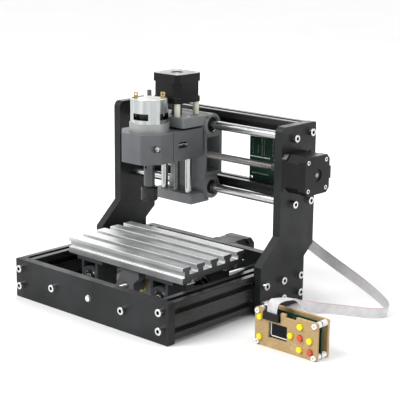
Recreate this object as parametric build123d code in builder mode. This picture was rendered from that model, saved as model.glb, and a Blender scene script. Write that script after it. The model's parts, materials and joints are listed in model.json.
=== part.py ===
from build123d import *
from math import pi, radians, tan
import os

# Desktop three-axis router: extruded base, plate gantry, spindle head and wired hand pad.
#
# Everything is modelled in the machine frame: X runs along the gantry with 0 midway between the
# rails, Y runs from the front plate to the rear plate with 0 midway, and Z is up from the floor.
# ROW_ORIGIN is the point of that frame that becomes the origin of the written parts.

# ---------------------------------------------------------------- driving dimensions (mm)
ROW_ORIGIN = (60.25, 14.0, 0.0)  # middle of the whole object's footprint, on the floor

PLATE_T = 10.0  # all frame plates
FRAME_W = 240.0  # across the front and rear plates
RAIL_L = 200.0  # side rails between the plates
PLATE_H = 45.0
CELL = 20.0  # one cell of the slotted aluminium profile
RAIL_Z = 25.0  # middle of the two-cell side rails
INNER_Y = RAIL_L / 2  # inner face of the front and rear plates
OUTER_Y = INNER_Y + PLATE_T
RAIL_X = FRAME_W / 2 - CELL / 2
UPRIGHT_X = FRAME_W / 2  # inner face of the gantry uprights

ROD_R = 5.0
SCREW_R = 4.0
SHAFT_R = 2.5
RUN = 0.03  # radial gap of everything that turns or slides on a shaft
Y_ROD_X, Y_ROD_Z = 55.0, 24.0
X_AXIS_Y = 76.0  # gantry rods and gantry screw share one upright plane
X_ROD_Z = (192.0, 118.5)
X_SCREW_Z = 156.0
BEAM_Y = 104.0
BEAM_Z = (195.5, 118.5)

MOTOR_W, MOTOR_L, MOTOR_PITCH = 42.3, 33.0, 31.0
REAR_CAP_T, FRONT_CAP_T = 9.4, 6.3
COUPLER_R, COUPLER_L = 6.0, 16.0
BEARING_R, BEARING_L = 9.5, 29.0  # linear bearings on the 10 mm rods
END_BEARING_R, END_BEARING_L = 8.0, 5.0  # flanged ball bearings at the far ends of the screws
NUT_BARREL_R, NUT_FLANGE_T = 5.1, 3.5  # brass nuts of the lead screws
SCREW_END_R = 4.4  # holes through which the screws' far ends show

TABLE_X, TABLE_D, TABLE_T = 180.0, 100.0, 18.5
TABLE_Y, TABLE_Z = -6.5, 65.0  # middle of the table as it stands, and its top

CARRIAGE_X = -22.0  # middle of the gantry carriage as it stands
CARRIAGE_W = 62.0
Z_AXIS_Y = 51.0
Z_ROD_X, Z_ROD_R = 19.0, 4.0
TOP_Z, BOTTOM_Z, FLANGE_T = 203.5, 102.5, 11.0
STANDOFF_L = 15.0

SPINDLE_Y = 6.5
HOLDER_Z = (156.5, 190.0)
CAN_R, RING_R, CAN_Z = 21.25, 22.5, (159.0, 226.5)
TOOL_R = 3.175 / 2

BOARD_Y = 118.0  # front face of the control board, behind the rear beams
BOARD_X, BOARD_Z = (32.5, 114.5), (122.5, 200.0)

PAD_X, PAD_Y, PAD_W, PAD_H = 176.0, -40.0, 79.5, 40.0  # left edge, front face, size
PANEL_T = 3.0
HOLE_IN = 3.5  # corner holes, in from the panel edges
PAD_BOARD_Y = PAD_Y + 8.5
PAD_DEPTH = 20.5
BUTTON_R = 3.25
BUTTONS = {  # centres on the pad's front, from its lower left corner
    "upper_left": (6.8, 30.6),
    "lower_left": (6.8, 9.4),
    "up": (58.4, 31.8),
    "left": (46.6, 19.8),
    "centre": (58.4, 19.8),
    "right": (70.6, 19.8),
    "down": (58.4, 7.8),
    "stop": (71.2, 8.2),
}

ORIGIN_SHIFT = Location(tuple(-v for v in ROW_ORIGIN))


# ---------------------------------------------------------------- shared shapes
def facing(point, direction):
    """The place of a piece at a point, with its own Z turned to a direction."""
    return Plane(origin=point, z_dir=direction).location


def cap_screw(size, length):
    """Socket head screw: the head stands on Z = 0 and the shank goes down from it."""
    with BuildPart() as screw:
        Cylinder(size / 2, length, align=(Align.CENTER, Align.CENTER, Align.MAX))
        Cylinder(0.85 * size, size, align=(Align.CENTER, Align.CENTER, Align.MIN))
        fillet(screw.edges().group_by(Axis.Z)[-1], 0.1 * size)
        with BuildSketch(Plane.XY.offset(size)):
            RegularPolygon(0.4 * size, 6, major_radius=False)
        extrude(amount=-0.5 * size, mode=Mode.SUBTRACT)
    return screw.part


def slotted_section(rows):
    """Section of the slotted profile, one cell wide and so many cells high."""
    middles = [(row - (rows - 1) / 2) * CELL for row in range(rows)]
    mouths = [(0, z, angle) for z in middles for angle in (0, 180)]
    mouths += [(0, middles[-1], 90), (0, middles[0], 270)]
    half = CELL / 2
    with BuildSketch() as section:
        RectangleRounded(CELL, rows * CELL, 1)
        for x, y, angle in mouths:
            with Locations(Location((x, y), angle)):
                Polygon(
                    (half + 1, -3.1), (half - 1.8, -3.1), (half - 1.8, -5.6), (half - 3.3, -5.6),
                    (half - 5.6, -3.3), (half - 5.6, 3.3), (half - 3.3, 5.6), (half - 1.8, 5.6),
                    (half - 1.8, 3.1), (half + 1, 3.1),
                    align=None, mode=Mode.SUBTRACT,
                )
        with Locations(*[(0, y) for y in middles]):
            Circle(2.5, mode=Mode.SUBTRACT)
    return section.sketch


def motor_section(corner):
    """Square motor outline with cut corners."""
    with BuildSketch() as section:
        Rectangle(MOTOR_W, MOTOR_W)
        chamfer(section.vertices(), corner)
        Circle(SHAFT_R + RUN, mode=Mode.SUBTRACT)
        with GridLocations(MOTOR_PITCH, MOTOR_PITCH, 2, 2):
            Circle(1.5, mode=Mode.SUBTRACT)
    return section.sketch


def motor_stack():
    """Laminated middle of a motor whose mounting face is at Z = 0 and whose body is above it."""
    with BuildPart() as stack:
        with BuildSketch(Plane.XY.offset(FRONT_CAP_T)):
            add(motor_section(7.5))
        extrude(amount=MOTOR_L - FRONT_CAP_T - REAR_CAP_T)
    return stack.part


def motor_caps():
    """Front flange, rear cap and plug block of the same motor; the plug block faces +X."""
    with BuildPart() as caps:
        with BuildSketch():
            add(motor_section(5))
        extrude(amount=FRONT_CAP_T)
        fillet(caps.edges().filter_by(Axis.Z).group_by(SortBy.LENGTH)[-1], 0.8)
        with BuildSketch(Plane.XY.offset(MOTOR_L - REAR_CAP_T)):
            add(motor_section(5))
        extrude(amount=REAR_CAP_T)
        with BuildSketch(Plane.XY.offset(MOTOR_L)):
            Circle(7)
        extrude(amount=-1.2, mode=Mode.SUBTRACT)
        with BuildSketch(Plane.XY.offset(MOTOR_L)):
            with GridLocations(MOTOR_PITCH, MOTOR_PITCH, 2, 2):
                Circle(2.9)
        extrude(amount=-3, mode=Mode.SUBTRACT)
        with Locations((MOTOR_W / 2, 0, MOTOR_L - REAR_CAP_T / 2)):
            Box(4.2, 14, 7, align=(Align.MIN, Align.CENTER, Align.CENTER))
        with Locations((MOTOR_W / 2 + 4.2, 0, MOTOR_L - REAR_CAP_T / 2)):
            Box(3, 12, 5, align=(Align.MAX, Align.CENTER, Align.CENTER), mode=Mode.SUBTRACT)
    return caps.part


def motor_screws(reach):
    """Four long screws through a motor, sunk in its rear cap, going so far past its face."""
    screw = cap_screw(3, MOTOR_L - 3 + reach)
    with BuildPart() as screws:
        with Locations((0, 0, MOTOR_L - 3)):
            with GridLocations(MOTOR_PITCH, MOTOR_PITCH, 2, 2):
                add(screw)
    return screws.part


def coupler():
    """Rigid sleeve, screw end down, standing on Z = 0."""
    with BuildPart() as sleeve:
        Cylinder(COUPLER_R, COUPLER_L, align=(Align.CENTER, Align.CENTER, Align.MIN))
        chamfer(sleeve.edges().filter_by(GeomType.CIRCLE), 0.5)
        Cylinder(SCREW_R, 7.5, align=(Align.CENTER, Align.CENTER, Align.MIN), mode=Mode.SUBTRACT)
        Cylinder(
            SHAFT_R, COUPLER_L, align=(Align.CENTER, Align.CENTER, Align.MIN), mode=Mode.SUBTRACT
        )
    return sleeve.part


def linear_bearing(outer, inner, length):
    """Closed linear bearing along Z with its two retaining grooves."""
    with BuildPart() as bearing:
        Cylinder(outer, length)
        with Locations((0, 0, length / 2 - 3), (0, 0, 3 - length / 2)):
            with BuildSketch(Plane.XY):
                Circle(outer)
                Circle(outer - 0.4, mode=Mode.SUBTRACT)
            extrude(amount=0.6, both=True, mode=Mode.SUBTRACT)
        Cylinder(inner, length, mode=Mode.SUBTRACT)
    return bearing.part


def flanged_nut(flange_r, barrel_l=12):
    """Brass screw nut: flange from Z = 0 upwards, barrel below."""
    with BuildPart() as nut:
        Cylinder(flange_r, NUT_FLANGE_T, align=(Align.CENTER, Align.CENTER, Align.MIN))
        if flange_r > 10:
            with PolarLocations(8, 4, start_angle=45):
                Cylinder(1.6, 2 * NUT_FLANGE_T, mode=Mode.SUBTRACT)
        Cylinder(NUT_BARREL_R, barrel_l, align=(Align.CENTER, Align.CENTER, Align.MAX))
        Cylinder(SCREW_R + RUN, 2 * barrel_l + 10, mode=Mode.SUBTRACT)
    return nut.part


def placed(piece, *places):
    """The same piece at several places, as separate solids of one part."""
    with BuildPart() as group:
        with Locations(*places):
            add(piece)
    return group.part


PIECES = {}  # node name: part, in the machine frame


# ---------------------------------------------------------------- base
plate_bolts = [(x, z) for x in (-RAIL_X, RAIL_X) for z in (RAIL_Z - CELL / 2, RAIL_Z + CELL / 2)]
rod_bolts = [(-Y_ROD_X, Y_ROD_Z), (Y_ROD_X, Y_ROD_Z)]

with BuildPart() as front_plate:
    with BuildSketch(Plane.XZ.offset(INNER_Y)):
        with Locations((0, PLATE_H / 2)):
            RectangleRounded(FRAME_W, PLATE_H, 1.5)
        with Locations(*plate_bolts, *rod_bolts):
            Circle(2.75, mode=Mode.SUBTRACT)
        with Locations((0, Y_ROD_Z)):
            Circle(SCREW_END_R, mode=Mode.SUBTRACT)
    extrude(amount=PLATE_T)
    with BuildSketch(Plane.XZ.offset(INNER_Y)):
        with Locations((0, Y_ROD_Z)):
            Circle(END_BEARING_R)
    extrude(amount=END_BEARING_L, mode=Mode.SUBTRACT)
PIECES["front_plate"] = front_plate.part

with BuildPart() as rear_plate:
    with BuildSketch(Plane.XZ.offset(-OUTER_Y)):
        with Locations((0, PLATE_H / 2)):
            RectangleRounded(FRAME_W, PLATE_H, 1.5)
        with Locations(*plate_bolts, *rod_bolts):
            Circle(2.75, mode=Mode.SUBTRACT)
        with Locations((0, Y_ROD_Z)):
            Circle(7.5, mode=Mode.SUBTRACT)
            with GridLocations(MOTOR_PITCH, MOTOR_PITCH, 2, 2):
                Circle(1.5, mode=Mode.SUBTRACT)
    extrude(amount=PLATE_T)
PIECES["rear_plate"] = rear_plate.part

with BuildPart() as side_rails:
    with BuildSketch(Plane.XZ.offset(-INNER_Y)):
        with Locations((-RAIL_X, RAIL_Z), (RAIL_X, RAIL_Z)):
            add(slotted_section(2))
    extrude(amount=RAIL_L)
PIECES["side_rails"] = side_rails.part

# ---------------------------------------------------------------- gantry uprights and beams
upright_outline = [
    (24, 2), (99.5, 2), (99.5, 54.5), (115, 67), (115, 206), (55, 206), (55, 84), (24, 56),
]
upright_bolts = [(y, z) for y in (30, 60, 90) for z in (15, 35)]
x_rod_bolts = [(X_AXIS_Y, z) for z in X_ROD_Z]
beam_bolts = [(BEAM_Y, z) for z in BEAM_Z]

for side, name in ((-1, "upright_left"), (1, "upright_right")):
    with BuildPart() as upright:
        with BuildSketch(Plane.YZ.offset(UPRIGHT_X if side > 0 else -UPRIGHT_X - PLATE_T)) as s:
            with BuildLine():
                Polyline(*upright_outline, close=True)
            make_face()
            front_top = s.vertices().filter_by_position(Axis.Y, 205, 207).sort_by(Axis.X)[0]
            fillet(front_top, 7.5)
            sharp = [v for v in s.vertices() if any(abs(v.X - y) < 0.1 and abs(v.Y - z) < 0.1
                     for y, z in upright_outline)]
            fillet(sharp, 2)
            with Locations(*upright_bolts, *x_rod_bolts, *beam_bolts):
                Circle(2.75, mode=Mode.SUBTRACT)
            with Locations((X_AXIS_Y, X_SCREW_Z)):
                Circle(SCREW_END_R if side < 0 else 7.5, mode=Mode.SUBTRACT)
                if side > 0:
                    with GridLocations(MOTOR_PITCH, MOTOR_PITCH, 2, 2):
                        Circle(1.5, mode=Mode.SUBTRACT)
            with Locations((105, 174)):
                Circle(1.6, mode=Mode.SUBTRACT)
        extrude(amount=PLATE_T)
        if side < 0:
            with BuildSketch(Plane.YZ.offset(-UPRIGHT_X)):
                with Locations((X_AXIS_Y, X_SCREW_Z)):
                    Circle(END_BEARING_R)
            extrude(amount=-END_BEARING_L, mode=Mode.SUBTRACT)
    PIECES[name] = upright.part

with BuildPart() as rear_beams:
    with BuildSketch(Plane.YZ.offset(-UPRIGHT_X)):
        with Locations(*beam_bolts):
            add(slotted_section(1))
    extrude(amount=FRAME_W)
PIECES["rear_beams"] = rear_beams.part


# ---------------------------------------------------------------- fixed rods, bearings, screws
def guide_rod(length):
    """Round rod along Z, centred, with a tapped hole in each end."""
    with BuildPart() as rod:
        Cylinder(ROD_R, length)
        chamfer(rod.edges().filter_by(GeomType.CIRCLE), 0.5)
        with Locations((0, 0, length / 2 - 7), (0, 0, 7 - length / 2)):
            Cylinder(2.5, 14, mode=Mode.SUBTRACT)
    return rod.part


with BuildPart() as guide_rods:
    with Locations(*[facing((x, 0, Y_ROD_Z), (0, 1, 0)) for x in (-Y_ROD_X, Y_ROD_X)]):
        add(guide_rod(RAIL_L))
    with Locations(*[facing((0, X_AXIS_Y, z), (1, 0, 0)) for z in X_ROD_Z]):
        add(guide_rod(FRAME_W))
PIECES["guide_rods"] = guide_rods.part

with BuildPart() as end_bearing:  # its flange stands on Z = 0, its body goes down
    Cylinder(END_BEARING_R, END_BEARING_L, align=(Align.CENTER, Align.CENTER, Align.MAX))
    Cylinder(9.25, 1, align=(Align.CENTER, Align.CENTER, Align.MIN))
    Cylinder(SCREW_R + RUN, 20, mode=Mode.SUBTRACT)
PIECES["screw_end_bearings"] = placed(
    end_bearing.part,
    facing((0, -INNER_Y, Y_ROD_Z), (0, 1, 0)),
    facing((-UPRIGHT_X, X_AXIS_Y, X_SCREW_Z), (1, 0, 0)),
)

# ---------------------------------------------------------------- gantry and base motors
x_motor_place = Plane(
    origin=(UPRIGHT_X + PLATE_T, X_AXIS_Y, X_SCREW_Z), x_dir=(0, 1, 0), z_dir=(1, 0, 0)
).location
y_motor_place = Plane(origin=(0, OUTER_Y, Y_ROD_Z), x_dir=(-1, 0, 0), z_dir=(0, 1, 0)).location
PIECES["frame_motor_stacks"] = placed(motor_stack(), x_motor_place, y_motor_place)
PIECES["frame_motor_caps"] = placed(motor_caps(), x_motor_place, y_motor_place)

end_screws = [facing((x, -OUTER_Y, z), (0, -1, 0)) for x, z in plate_bolts + rod_bolts]
end_screws += [facing((x, OUTER_Y, z), (0, 1, 0)) for x, z in plate_bolts + rod_bolts]
side_screws, slot_nuts = [], []
for side in (-1, 1):
    face, slot = side * (UPRIGHT_X + PLATE_T), side * (UPRIGHT_X - 1.8)
    end_screws += [facing((face, *p), (side, 0, 0)) for p in x_rod_bolts + beam_bolts]
    side_screws += [facing((face, *p), (side, 0, 0)) for p in upright_bolts]
    slot_nuts += [
        Plane(origin=(slot, *p), x_dir=(0, 0, 1), z_dir=(side, 0, 0)).location
        for p in upright_bolts
    ]
with BuildPart() as slot_nut:  # bears on the inside of a slot's lips, below Z = 0
    with BuildSketch(Plane.XZ):
        Polygon((-5.2, 0), (5.2, 0), (5.2, -1.4), (3.5, -3), (-3.5, -3), (-5.2, -1.4), align=None)
    extrude(amount=5, both=True)
    Hole(2.5)
with BuildPart() as frame_fasteners:
    with Locations(*end_screws):
        add(cap_screw(5, 20))
    with Locations(*side_screws):
        add(cap_screw(5, 14.8))
    with Locations(*slot_nuts):
        add(slot_nut.part)
    with Locations(x_motor_place, y_motor_place):
        add(motor_screws(9))
PIECES["frame_fasteners"] = frame_fasteners.part


def screw_and_shaft(screw_from, screw_to, shaft_to):
    """Lead screw along Z, and the motor shaft that carries on from it in the coupler."""
    with BuildPart() as line:
        with Locations((0, 0, (screw_from + screw_to) / 2)):
            Cylinder(SCREW_R, screw_to - screw_from)
            chamfer(line.edges().filter_by(GeomType.CIRCLE), 0.6)
        with Locations((0, 0, (screw_to + 0.5 + shaft_to) / 2)):
            Cylinder(SHAFT_R, shaft_to - screw_to - 0.5)
    return line.part


COUPLER_GAP = 1.0  # between each frame coupler and the plate beside it
x_coupler_x = UPRIGHT_X - COUPLER_GAP - COUPLER_L
y_coupler_y = INNER_Y - COUPLER_GAP - COUPLER_L
PIECES["x_leadscrew"] = placed(
    screw_and_shaft(-UPRIGHT_X - PLATE_T - 1, x_coupler_x + 7.5, UPRIGHT_X + PLATE_T + 32.5),
    facing((0, X_AXIS_Y, X_SCREW_Z), (1, 0, 0)),
)
PIECES["x_coupler"] = placed(coupler(), facing((x_coupler_x, X_AXIS_Y, X_SCREW_Z), (1, 0, 0)))
PIECES["y_leadscrew"] = placed(
    screw_and_shaft(-OUTER_Y - 1, y_coupler_y + 7.5, OUTER_Y + 32.5),
    facing((0, 0, Y_ROD_Z), (0, 1, 0)),
)
PIECES["y_coupler"] = placed(coupler(), facing((0, y_coupler_y, Y_ROD_Z), (0, 1, 0)))

# ---------------------------------------------------------------- table
RIDGES, RIDGE_W = 5, 13.0
ridge_pitch = (TABLE_D - RIDGE_W) / (RIDGES - 1)
slot_w = ridge_pitch - RIDGE_W
table_bottom = TABLE_Z - TABLE_T
slot_middles = [TABLE_Y - TABLE_D / 2 + RIDGE_W / 2 + ridge_pitch * (i + 0.5) for i in range(4)]

with BuildPart() as table_top:
    with BuildSketch(Plane.YZ.offset(-TABLE_X / 2)):
        with Locations((TABLE_Y, TABLE_Z - TABLE_T / 2)):
            Rectangle(TABLE_D, TABLE_T)
        with Locations(*[(y, TABLE_Z) for y in slot_middles]):
            Rectangle(slot_w, 2 * 8.5, mode=Mode.SUBTRACT)
        with Locations(*[(y, TABLE_Z - 6.5) for y in slot_middles]):
            Rectangle(slot_w + 4.5, 4, mode=Mode.SUBTRACT)
        with Locations(*[(y, table_bottom) for y in slot_middles[:1] + slot_middles[-1:]]):
            Rectangle(8, 2 * 4.5, mode=Mode.SUBTRACT)
        with Locations((TABLE_Y, table_bottom)):
            Rectangle(40, 2 * 3, mode=Mode.SUBTRACT)
        for side in (-1, 1):
            with Locations((TABLE_Y + side * TABLE_D / 2, TABLE_Z - 8)):
                Rectangle(2 * 3, 6.5, mode=Mode.SUBTRACT)
    extrude(amount=TABLE_X)
PIECES["table_top"] = table_top.part

BLOCK_L = 30.0
block_ys = [TABLE_Y + side * (TABLE_D / 2 - BLOCK_L / 2) for side in (-1, 1)]
with BuildPart() as block:  # its bore runs along Y through the block's own origin
    pad_z = table_bottom - Y_ROD_Z
    with BuildSketch(Plane.XZ.offset(-BLOCK_L / 2)):
        with Locations((0, pad_z)):
            Rectangle(41, 4, align=(Align.CENTER, Align.MAX))
            Rectangle(26, pad_z + 12.5, align=(Align.CENTER, Align.MAX))
        Circle(BEARING_R, mode=Mode.SUBTRACT)
        Polygon((-9.5, pad_z - 4), (9.5, pad_z - 4), (9.5, 9.5), (6, 12), (-6, 12), (-9.5, 9.5),
                align=None, mode=Mode.SUBTRACT)
    extrude(amount=BLOCK_L)
    with Locations((0, 0, pad_z)):
        with GridLocations(33, 18, 2, 2):
            Cylinder(2, 20, mode=Mode.SUBTRACT)
block_places = [(x, y, Y_ROD_Z) for x in (-Y_ROD_X, Y_ROD_X) for y in block_ys]
PIECES["table_blocks"] = placed(block.part, *block_places)
PIECES["y_bearings"] = placed(
    linear_bearing(BEARING_R, ROD_R + RUN, BEARING_L), *[facing(p, (0, 1, 0)) for p in block_places]
)

NUT_BLOCK_Y, NUT_BOSS_Y = -53.0, -31.5  # front face of the bracket, and end of its boss
with BuildPart() as y_nut_block:  # slanted bracket under the table, held to it on its right
    with BuildSketch(Plane.XZ.offset(-NUT_BLOCK_Y)):
        Polygon(
            (-20, 14), (-14, 29), (-7, 41), (-7, table_bottom), (19, table_bottom), (21, 38),
            (12, 30), (12, 14),
            align=None,
        )
    extrude(amount=-10)
    with BuildSketch(Plane.XZ.offset(-NUT_BLOCK_Y)):
        with Locations((0, Y_ROD_Z)):
            Circle(8)
    extrude(amount=NUT_BLOCK_Y - NUT_BOSS_Y)
    with BuildSketch(Plane.XZ.offset(-NUT_BLOCK_Y)):
        with Locations((0, Y_ROD_Z)):
            Circle(NUT_BARREL_R)
    extrude(amount=NUT_BLOCK_Y - NUT_BOSS_Y, mode=Mode.SUBTRACT)
PIECES["y_nut_block"] = y_nut_block.part
PIECES["y_nut"] = placed(flanged_nut(10.5, 21.5), facing((0, NUT_BOSS_Y, Y_ROD_Z), (0, 1, 0)))

# ---------------------------------------------------------------- gantry carriage
cx0, cx1 = CARRIAGE_X - CARRIAGE_W / 2, CARRIAGE_X + CARRIAGE_W / 2
wall_x0 = cx0 + 7.5  # the wall and collars stop short of the flanges' left ends
WALL_Y, WALL_T = 66.0, 7.0
BACK_Y = 95.0
COLLAR_R, COLLAR_X1 = 12.9, cx1 + 3
collar_l, collar_x = COLLAR_X1 - wall_x0, (COLLAR_X1 + wall_x0) / 2
LONG_BEARING_L = 55.0
z_rod_xs = (CARRIAGE_X - Z_ROD_X, CARRIAGE_X + Z_ROD_X)


def box(x, y, z, mode=Mode.ADD):
    """A box between its lowest and highest x, y and z."""
    with Locations(((x[0] + x[1]) / 2, (y[0] + y[1]) / 2, (z[0] + z[1]) / 2)):
        Box(x[1] - x[0], y[1] - y[0], z[1] - z[0], mode=mode)


with BuildPart() as x_carriage_body:
    box((cx0, cx1), (29, WALL_Y), (TOP_Z - FLANGE_T, TOP_Z))
    box((cx0, cx1), (43, WALL_Y), (BOTTOM_Z, BOTTOM_Z + FLANGE_T))
    fillet(x_carriage_body.edges().filter_by(Axis.Z).group_by(Axis.Y)[0], 3)
    box((wall_x0, cx1), (WALL_Y, WALL_Y + WALL_T), (BOTTOM_Z, TOP_Z))
    box((wall_x0, cx1), (WALL_Y, 88), (X_ROD_Z[1], X_ROD_Z[0]))
    box((wall_x0, cx1), (WALL_Y, BACK_Y), (131.5, 182.5))
    with Locations(*[(collar_x, X_AXIS_Y, z) for z in X_ROD_Z]):
        Cylinder(COLLAR_R, collar_l, rotation=(0, 90, 0))
    for a, b in ((wall_x0, CARRIAGE_X - 12), (CARRIAGE_X + 12, cx1)):
        box((a, b), (WALL_Y + 3, BACK_Y - 3.5), (136, 177), mode=Mode.SUBTRACT)
    with Locations(*[(collar_x, X_AXIS_Y, z) for z in X_ROD_Z]):
        Cylinder(BEARING_R, collar_l, rotation=(0, 90, 0), mode=Mode.SUBTRACT)
    with Locations((CARRIAGE_X, X_AXIS_Y, X_SCREW_Z)):
        Cylinder(5.1, 40, rotation=(0, 90, 0), mode=Mode.SUBTRACT)
    with Locations(*[(x, Z_AXIS_Y, 150) for x in z_rod_xs]):
        Cylinder(Z_ROD_R, 120, mode=Mode.SUBTRACT)
    with Locations((CARRIAGE_X, Z_AXIS_Y, TOP_Z)):
        Cylinder(7, 30, mode=Mode.SUBTRACT)
        with GridLocations(MOTOR_PITCH, MOTOR_PITCH, 2, 2):
            Cylinder(1.5, 11, mode=Mode.SUBTRACT)
    with Locations((CARRIAGE_X, Z_AXIS_Y, BOTTOM_Z)):
        Cylinder(SCREW_R + RUN, 30, mode=Mode.SUBTRACT)
    for x in (wall_x0, cx1):
        with Locations((x, WALL_Y + 1.5, TOP_Z - 3), (x, WALL_Y + 1.5, BOTTOM_Z + 4)):
            Cylinder(1.2, 16, rotation=(0, 90, 0), mode=Mode.SUBTRACT)
PIECES["x_carriage_body"] = x_carriage_body.part

PIECES["x_bearings"] = placed(
    linear_bearing(BEARING_R, ROD_R + RUN, LONG_BEARING_L),
    *[facing((collar_x, X_AXIS_Y, z), (1, 0, 0)) for z in X_ROD_Z],
)
PIECES["x_nut"] = placed(
    flanged_nut(6.9), facing((CARRIAGE_X + 12, X_AXIS_Y, X_SCREW_Z), (1, 0, 0))
)

with BuildPart() as z_rods:
    with Locations(*[(x, Z_AXIS_Y, (TOP_Z + BOTTOM_Z) / 2) for x in z_rod_xs]):
        Cylinder(Z_ROD_R, TOP_Z - BOTTOM_Z - 1)
PIECES["z_rods"] = z_rods.part

motor_z = TOP_Z + STANDOFF_L
z_motor_place = Plane(
    origin=(CARRIAGE_X, Z_AXIS_Y, motor_z), x_dir=(0, 1, 0), z_dir=(0, 0, 1)
).location
PIECES["z_motor_stack"] = placed(motor_stack(), z_motor_place)
PIECES["z_motor_caps"] = placed(motor_caps(), z_motor_place)
PIECES["z_motor_screws"] = placed(motor_screws(STANDOFF_L + 5.5), z_motor_place)

with BuildPart() as z_standoffs:
    with Locations((CARRIAGE_X, Z_AXIS_Y, TOP_Z)):
        with GridLocations(MOTOR_PITCH, MOTOR_PITCH, 2, 2):
            Cylinder(3.5, STANDOFF_L, align=(Align.CENTER, Align.CENTER, Align.MIN))
            Cylinder(1.5, 2 * STANDOFF_L + 2, mode=Mode.SUBTRACT)
PIECES["z_standoffs"] = z_standoffs.part

z_coupler_z = motor_z - 1 - COUPLER_L
PIECES["z_leadscrew"] = placed(
    screw_and_shaft(BOTTOM_Z - 1, z_coupler_z + 7.5, motor_z + 32.5),
    (CARRIAGE_X, Z_AXIS_Y, 0),
)
PIECES["z_coupler"] = placed(coupler(), (CARRIAGE_X, Z_AXIS_Y, z_coupler_z))

# ---------------------------------------------------------------- spindle head
holder_half = 31.0
face_left, face_right = 12.8, 17.0  # how far its front face reaches to each side of the spindle
holder_front = SPINDLE_Y - holder_half
facet_back = SPINDLE_Y - 12.8  # where its slanted facets meet its sides
holder_h = HOLDER_Z[1] - HOLDER_Z[0]
CLAMP_X, CLAMP_Z = 27.2, 174.0  # the clamp screw, beside the spindle

with BuildPart() as spindle_holder:
    with BuildSketch(Plane.XY.offset(HOLDER_Z[0])) as s:
        with Locations((CARRIAGE_X, 0)):
            Polygon(
                (-face_left, holder_front), (face_right, holder_front),
                (holder_half, facet_back), (holder_half, 62),
                (-holder_half, 62), (-holder_half, facet_back),
                align=None,
            )
        fillet(s.vertices().group_by(Axis.Y)[0], 2)
        with Locations((CARRIAGE_X, SPINDLE_Y)):
            Circle(RING_R, mode=Mode.SUBTRACT)
        with Locations(*[(x, Z_AXIS_Y) for x in z_rod_xs]):
            Circle(7.5, mode=Mode.SUBTRACT)
        with Locations((CARRIAGE_X, Z_AXIS_Y)):
            Circle(5.1, mode=Mode.SUBTRACT)
        with Locations((CARRIAGE_X + holder_half, SPINDLE_Y + 7)):
            Rectangle(24, 0.7, mode=Mode.SUBTRACT)
    extrude(amount=holder_h)
    with Locations((CARRIAGE_X, Z_AXIS_Y, HOLDER_Z[0])):
        Cylinder(10.6, 2 * 3.5, mode=Mode.SUBTRACT)
    right = CARRIAGE_X + holder_half
    box((right - 8, right + 1), (22, 36), (CLAMP_Z - 3.6, CLAMP_Z + 3.6), mode=Mode.SUBTRACT)
    with Locations((CARRIAGE_X + CLAMP_X, 42.5, CLAMP_Z)):
        Cylinder(2.05, 60, align=(Align.CENTER, Align.CENTER, Align.MIN), rotation=(90, 0, 0),
                 mode=Mode.SUBTRACT)
        Cylinder(2.9, 6.5, align=(Align.CENTER, Align.CENTER, Align.MIN), rotation=(90, 0, 0),
                 mode=Mode.SUBTRACT)
    with Locations((CARRIAGE_X + CLAMP_X, -6, CLAMP_Z)):
        Cylinder(4, 20, align=(Align.CENTER, Align.CENTER, Align.MIN), rotation=(90, 0, 0),
                 mode=Mode.SUBTRACT)
PIECES["spindle_holder"] = spindle_holder.part

with BuildPart() as clamp_hardware:
    with Locations(facing((CARRIAGE_X + CLAMP_X, -6, CLAMP_Z), (0, -1, 0))):
        add(cap_screw(4, 48))
    with BuildSketch(Plane.XZ.offset(-36.2)):
        with Locations((CARRIAGE_X + CLAMP_X, CLAMP_Z)):
            Circle(2.9)
            Circle(2, mode=Mode.SUBTRACT)
    extrude(amount=-6)
PIECES["clamp_hardware"] = clamp_hardware.part

PIECES["z_bearings"] = placed(
    linear_bearing(7.5, Z_ROD_R + RUN, 24), *[(x, Z_AXIS_Y, sum(HOLDER_Z) / 2) for x in z_rod_xs]
)
PIECES["z_nut"] = placed(
    flanged_nut(10.5), facing((CARRIAGE_X, Z_AXIS_Y, HOLDER_Z[0] + 3.5), (0, 0, -1))
)

spindle_axis = (CARRIAGE_X, SPINDLE_Y)
RING_TOP, VENT_Z, VENT_W = 199.5, (204.0, 211.3), 19.0
with BuildPart() as spindle_can:
    with BuildSketch(Plane.XZ):  # half section, turned about the spindle's axis
        Polygon(
            (8.75, 155.5), (8.75, CAN_Z[0]), (CAN_R, CAN_Z[0]), (CAN_R, 163), (RING_R, 163),
            (RING_R, RING_TOP), (CAN_R, RING_TOP), (CAN_R, CAN_Z[1]), (CAN_R - 1.4, CAN_Z[1]),
            (CAN_R - 1.4, CAN_Z[0] + 2), (SHAFT_R + RUN, CAN_Z[0] + 2), (SHAFT_R + RUN, 155.5),
            align=None,
        )
    revolve(axis=Axis.Z)
    with Locations((0, 0, sum(VENT_Z) / 2)):
        with PolarLocations(CAN_R, 4, start_angle=15):
            Box(10, VENT_W, VENT_Z[1] - VENT_Z[0], mode=Mode.SUBTRACT)
PIECES["spindle_can"] = placed(spindle_can.part, (*spindle_axis, 0))

with BuildPart() as spindle_cap:
    with BuildSketch(Plane.XY.offset(CAN_Z[1] - 5)):
        Circle(CAN_R - 1.4)
    extrude(amount=4)
    with BuildSketch(Plane.XY.offset(CAN_Z[1] - 1)):
        Circle(6)
    extrude(amount=4)
    Cylinder(SHAFT_R + RUN, 600, mode=Mode.SUBTRACT)
    with BuildSketch(Plane.XY.offset(CAN_Z[1] - 1)):
        with PolarLocations(14.5, 2, start_angle=135):
            Rectangle(5, 8)
    extrude(amount=-1.5, mode=Mode.SUBTRACT)
PIECES["spindle_cap"] = placed(spindle_cap.part, (*spindle_axis, 0))

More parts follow.
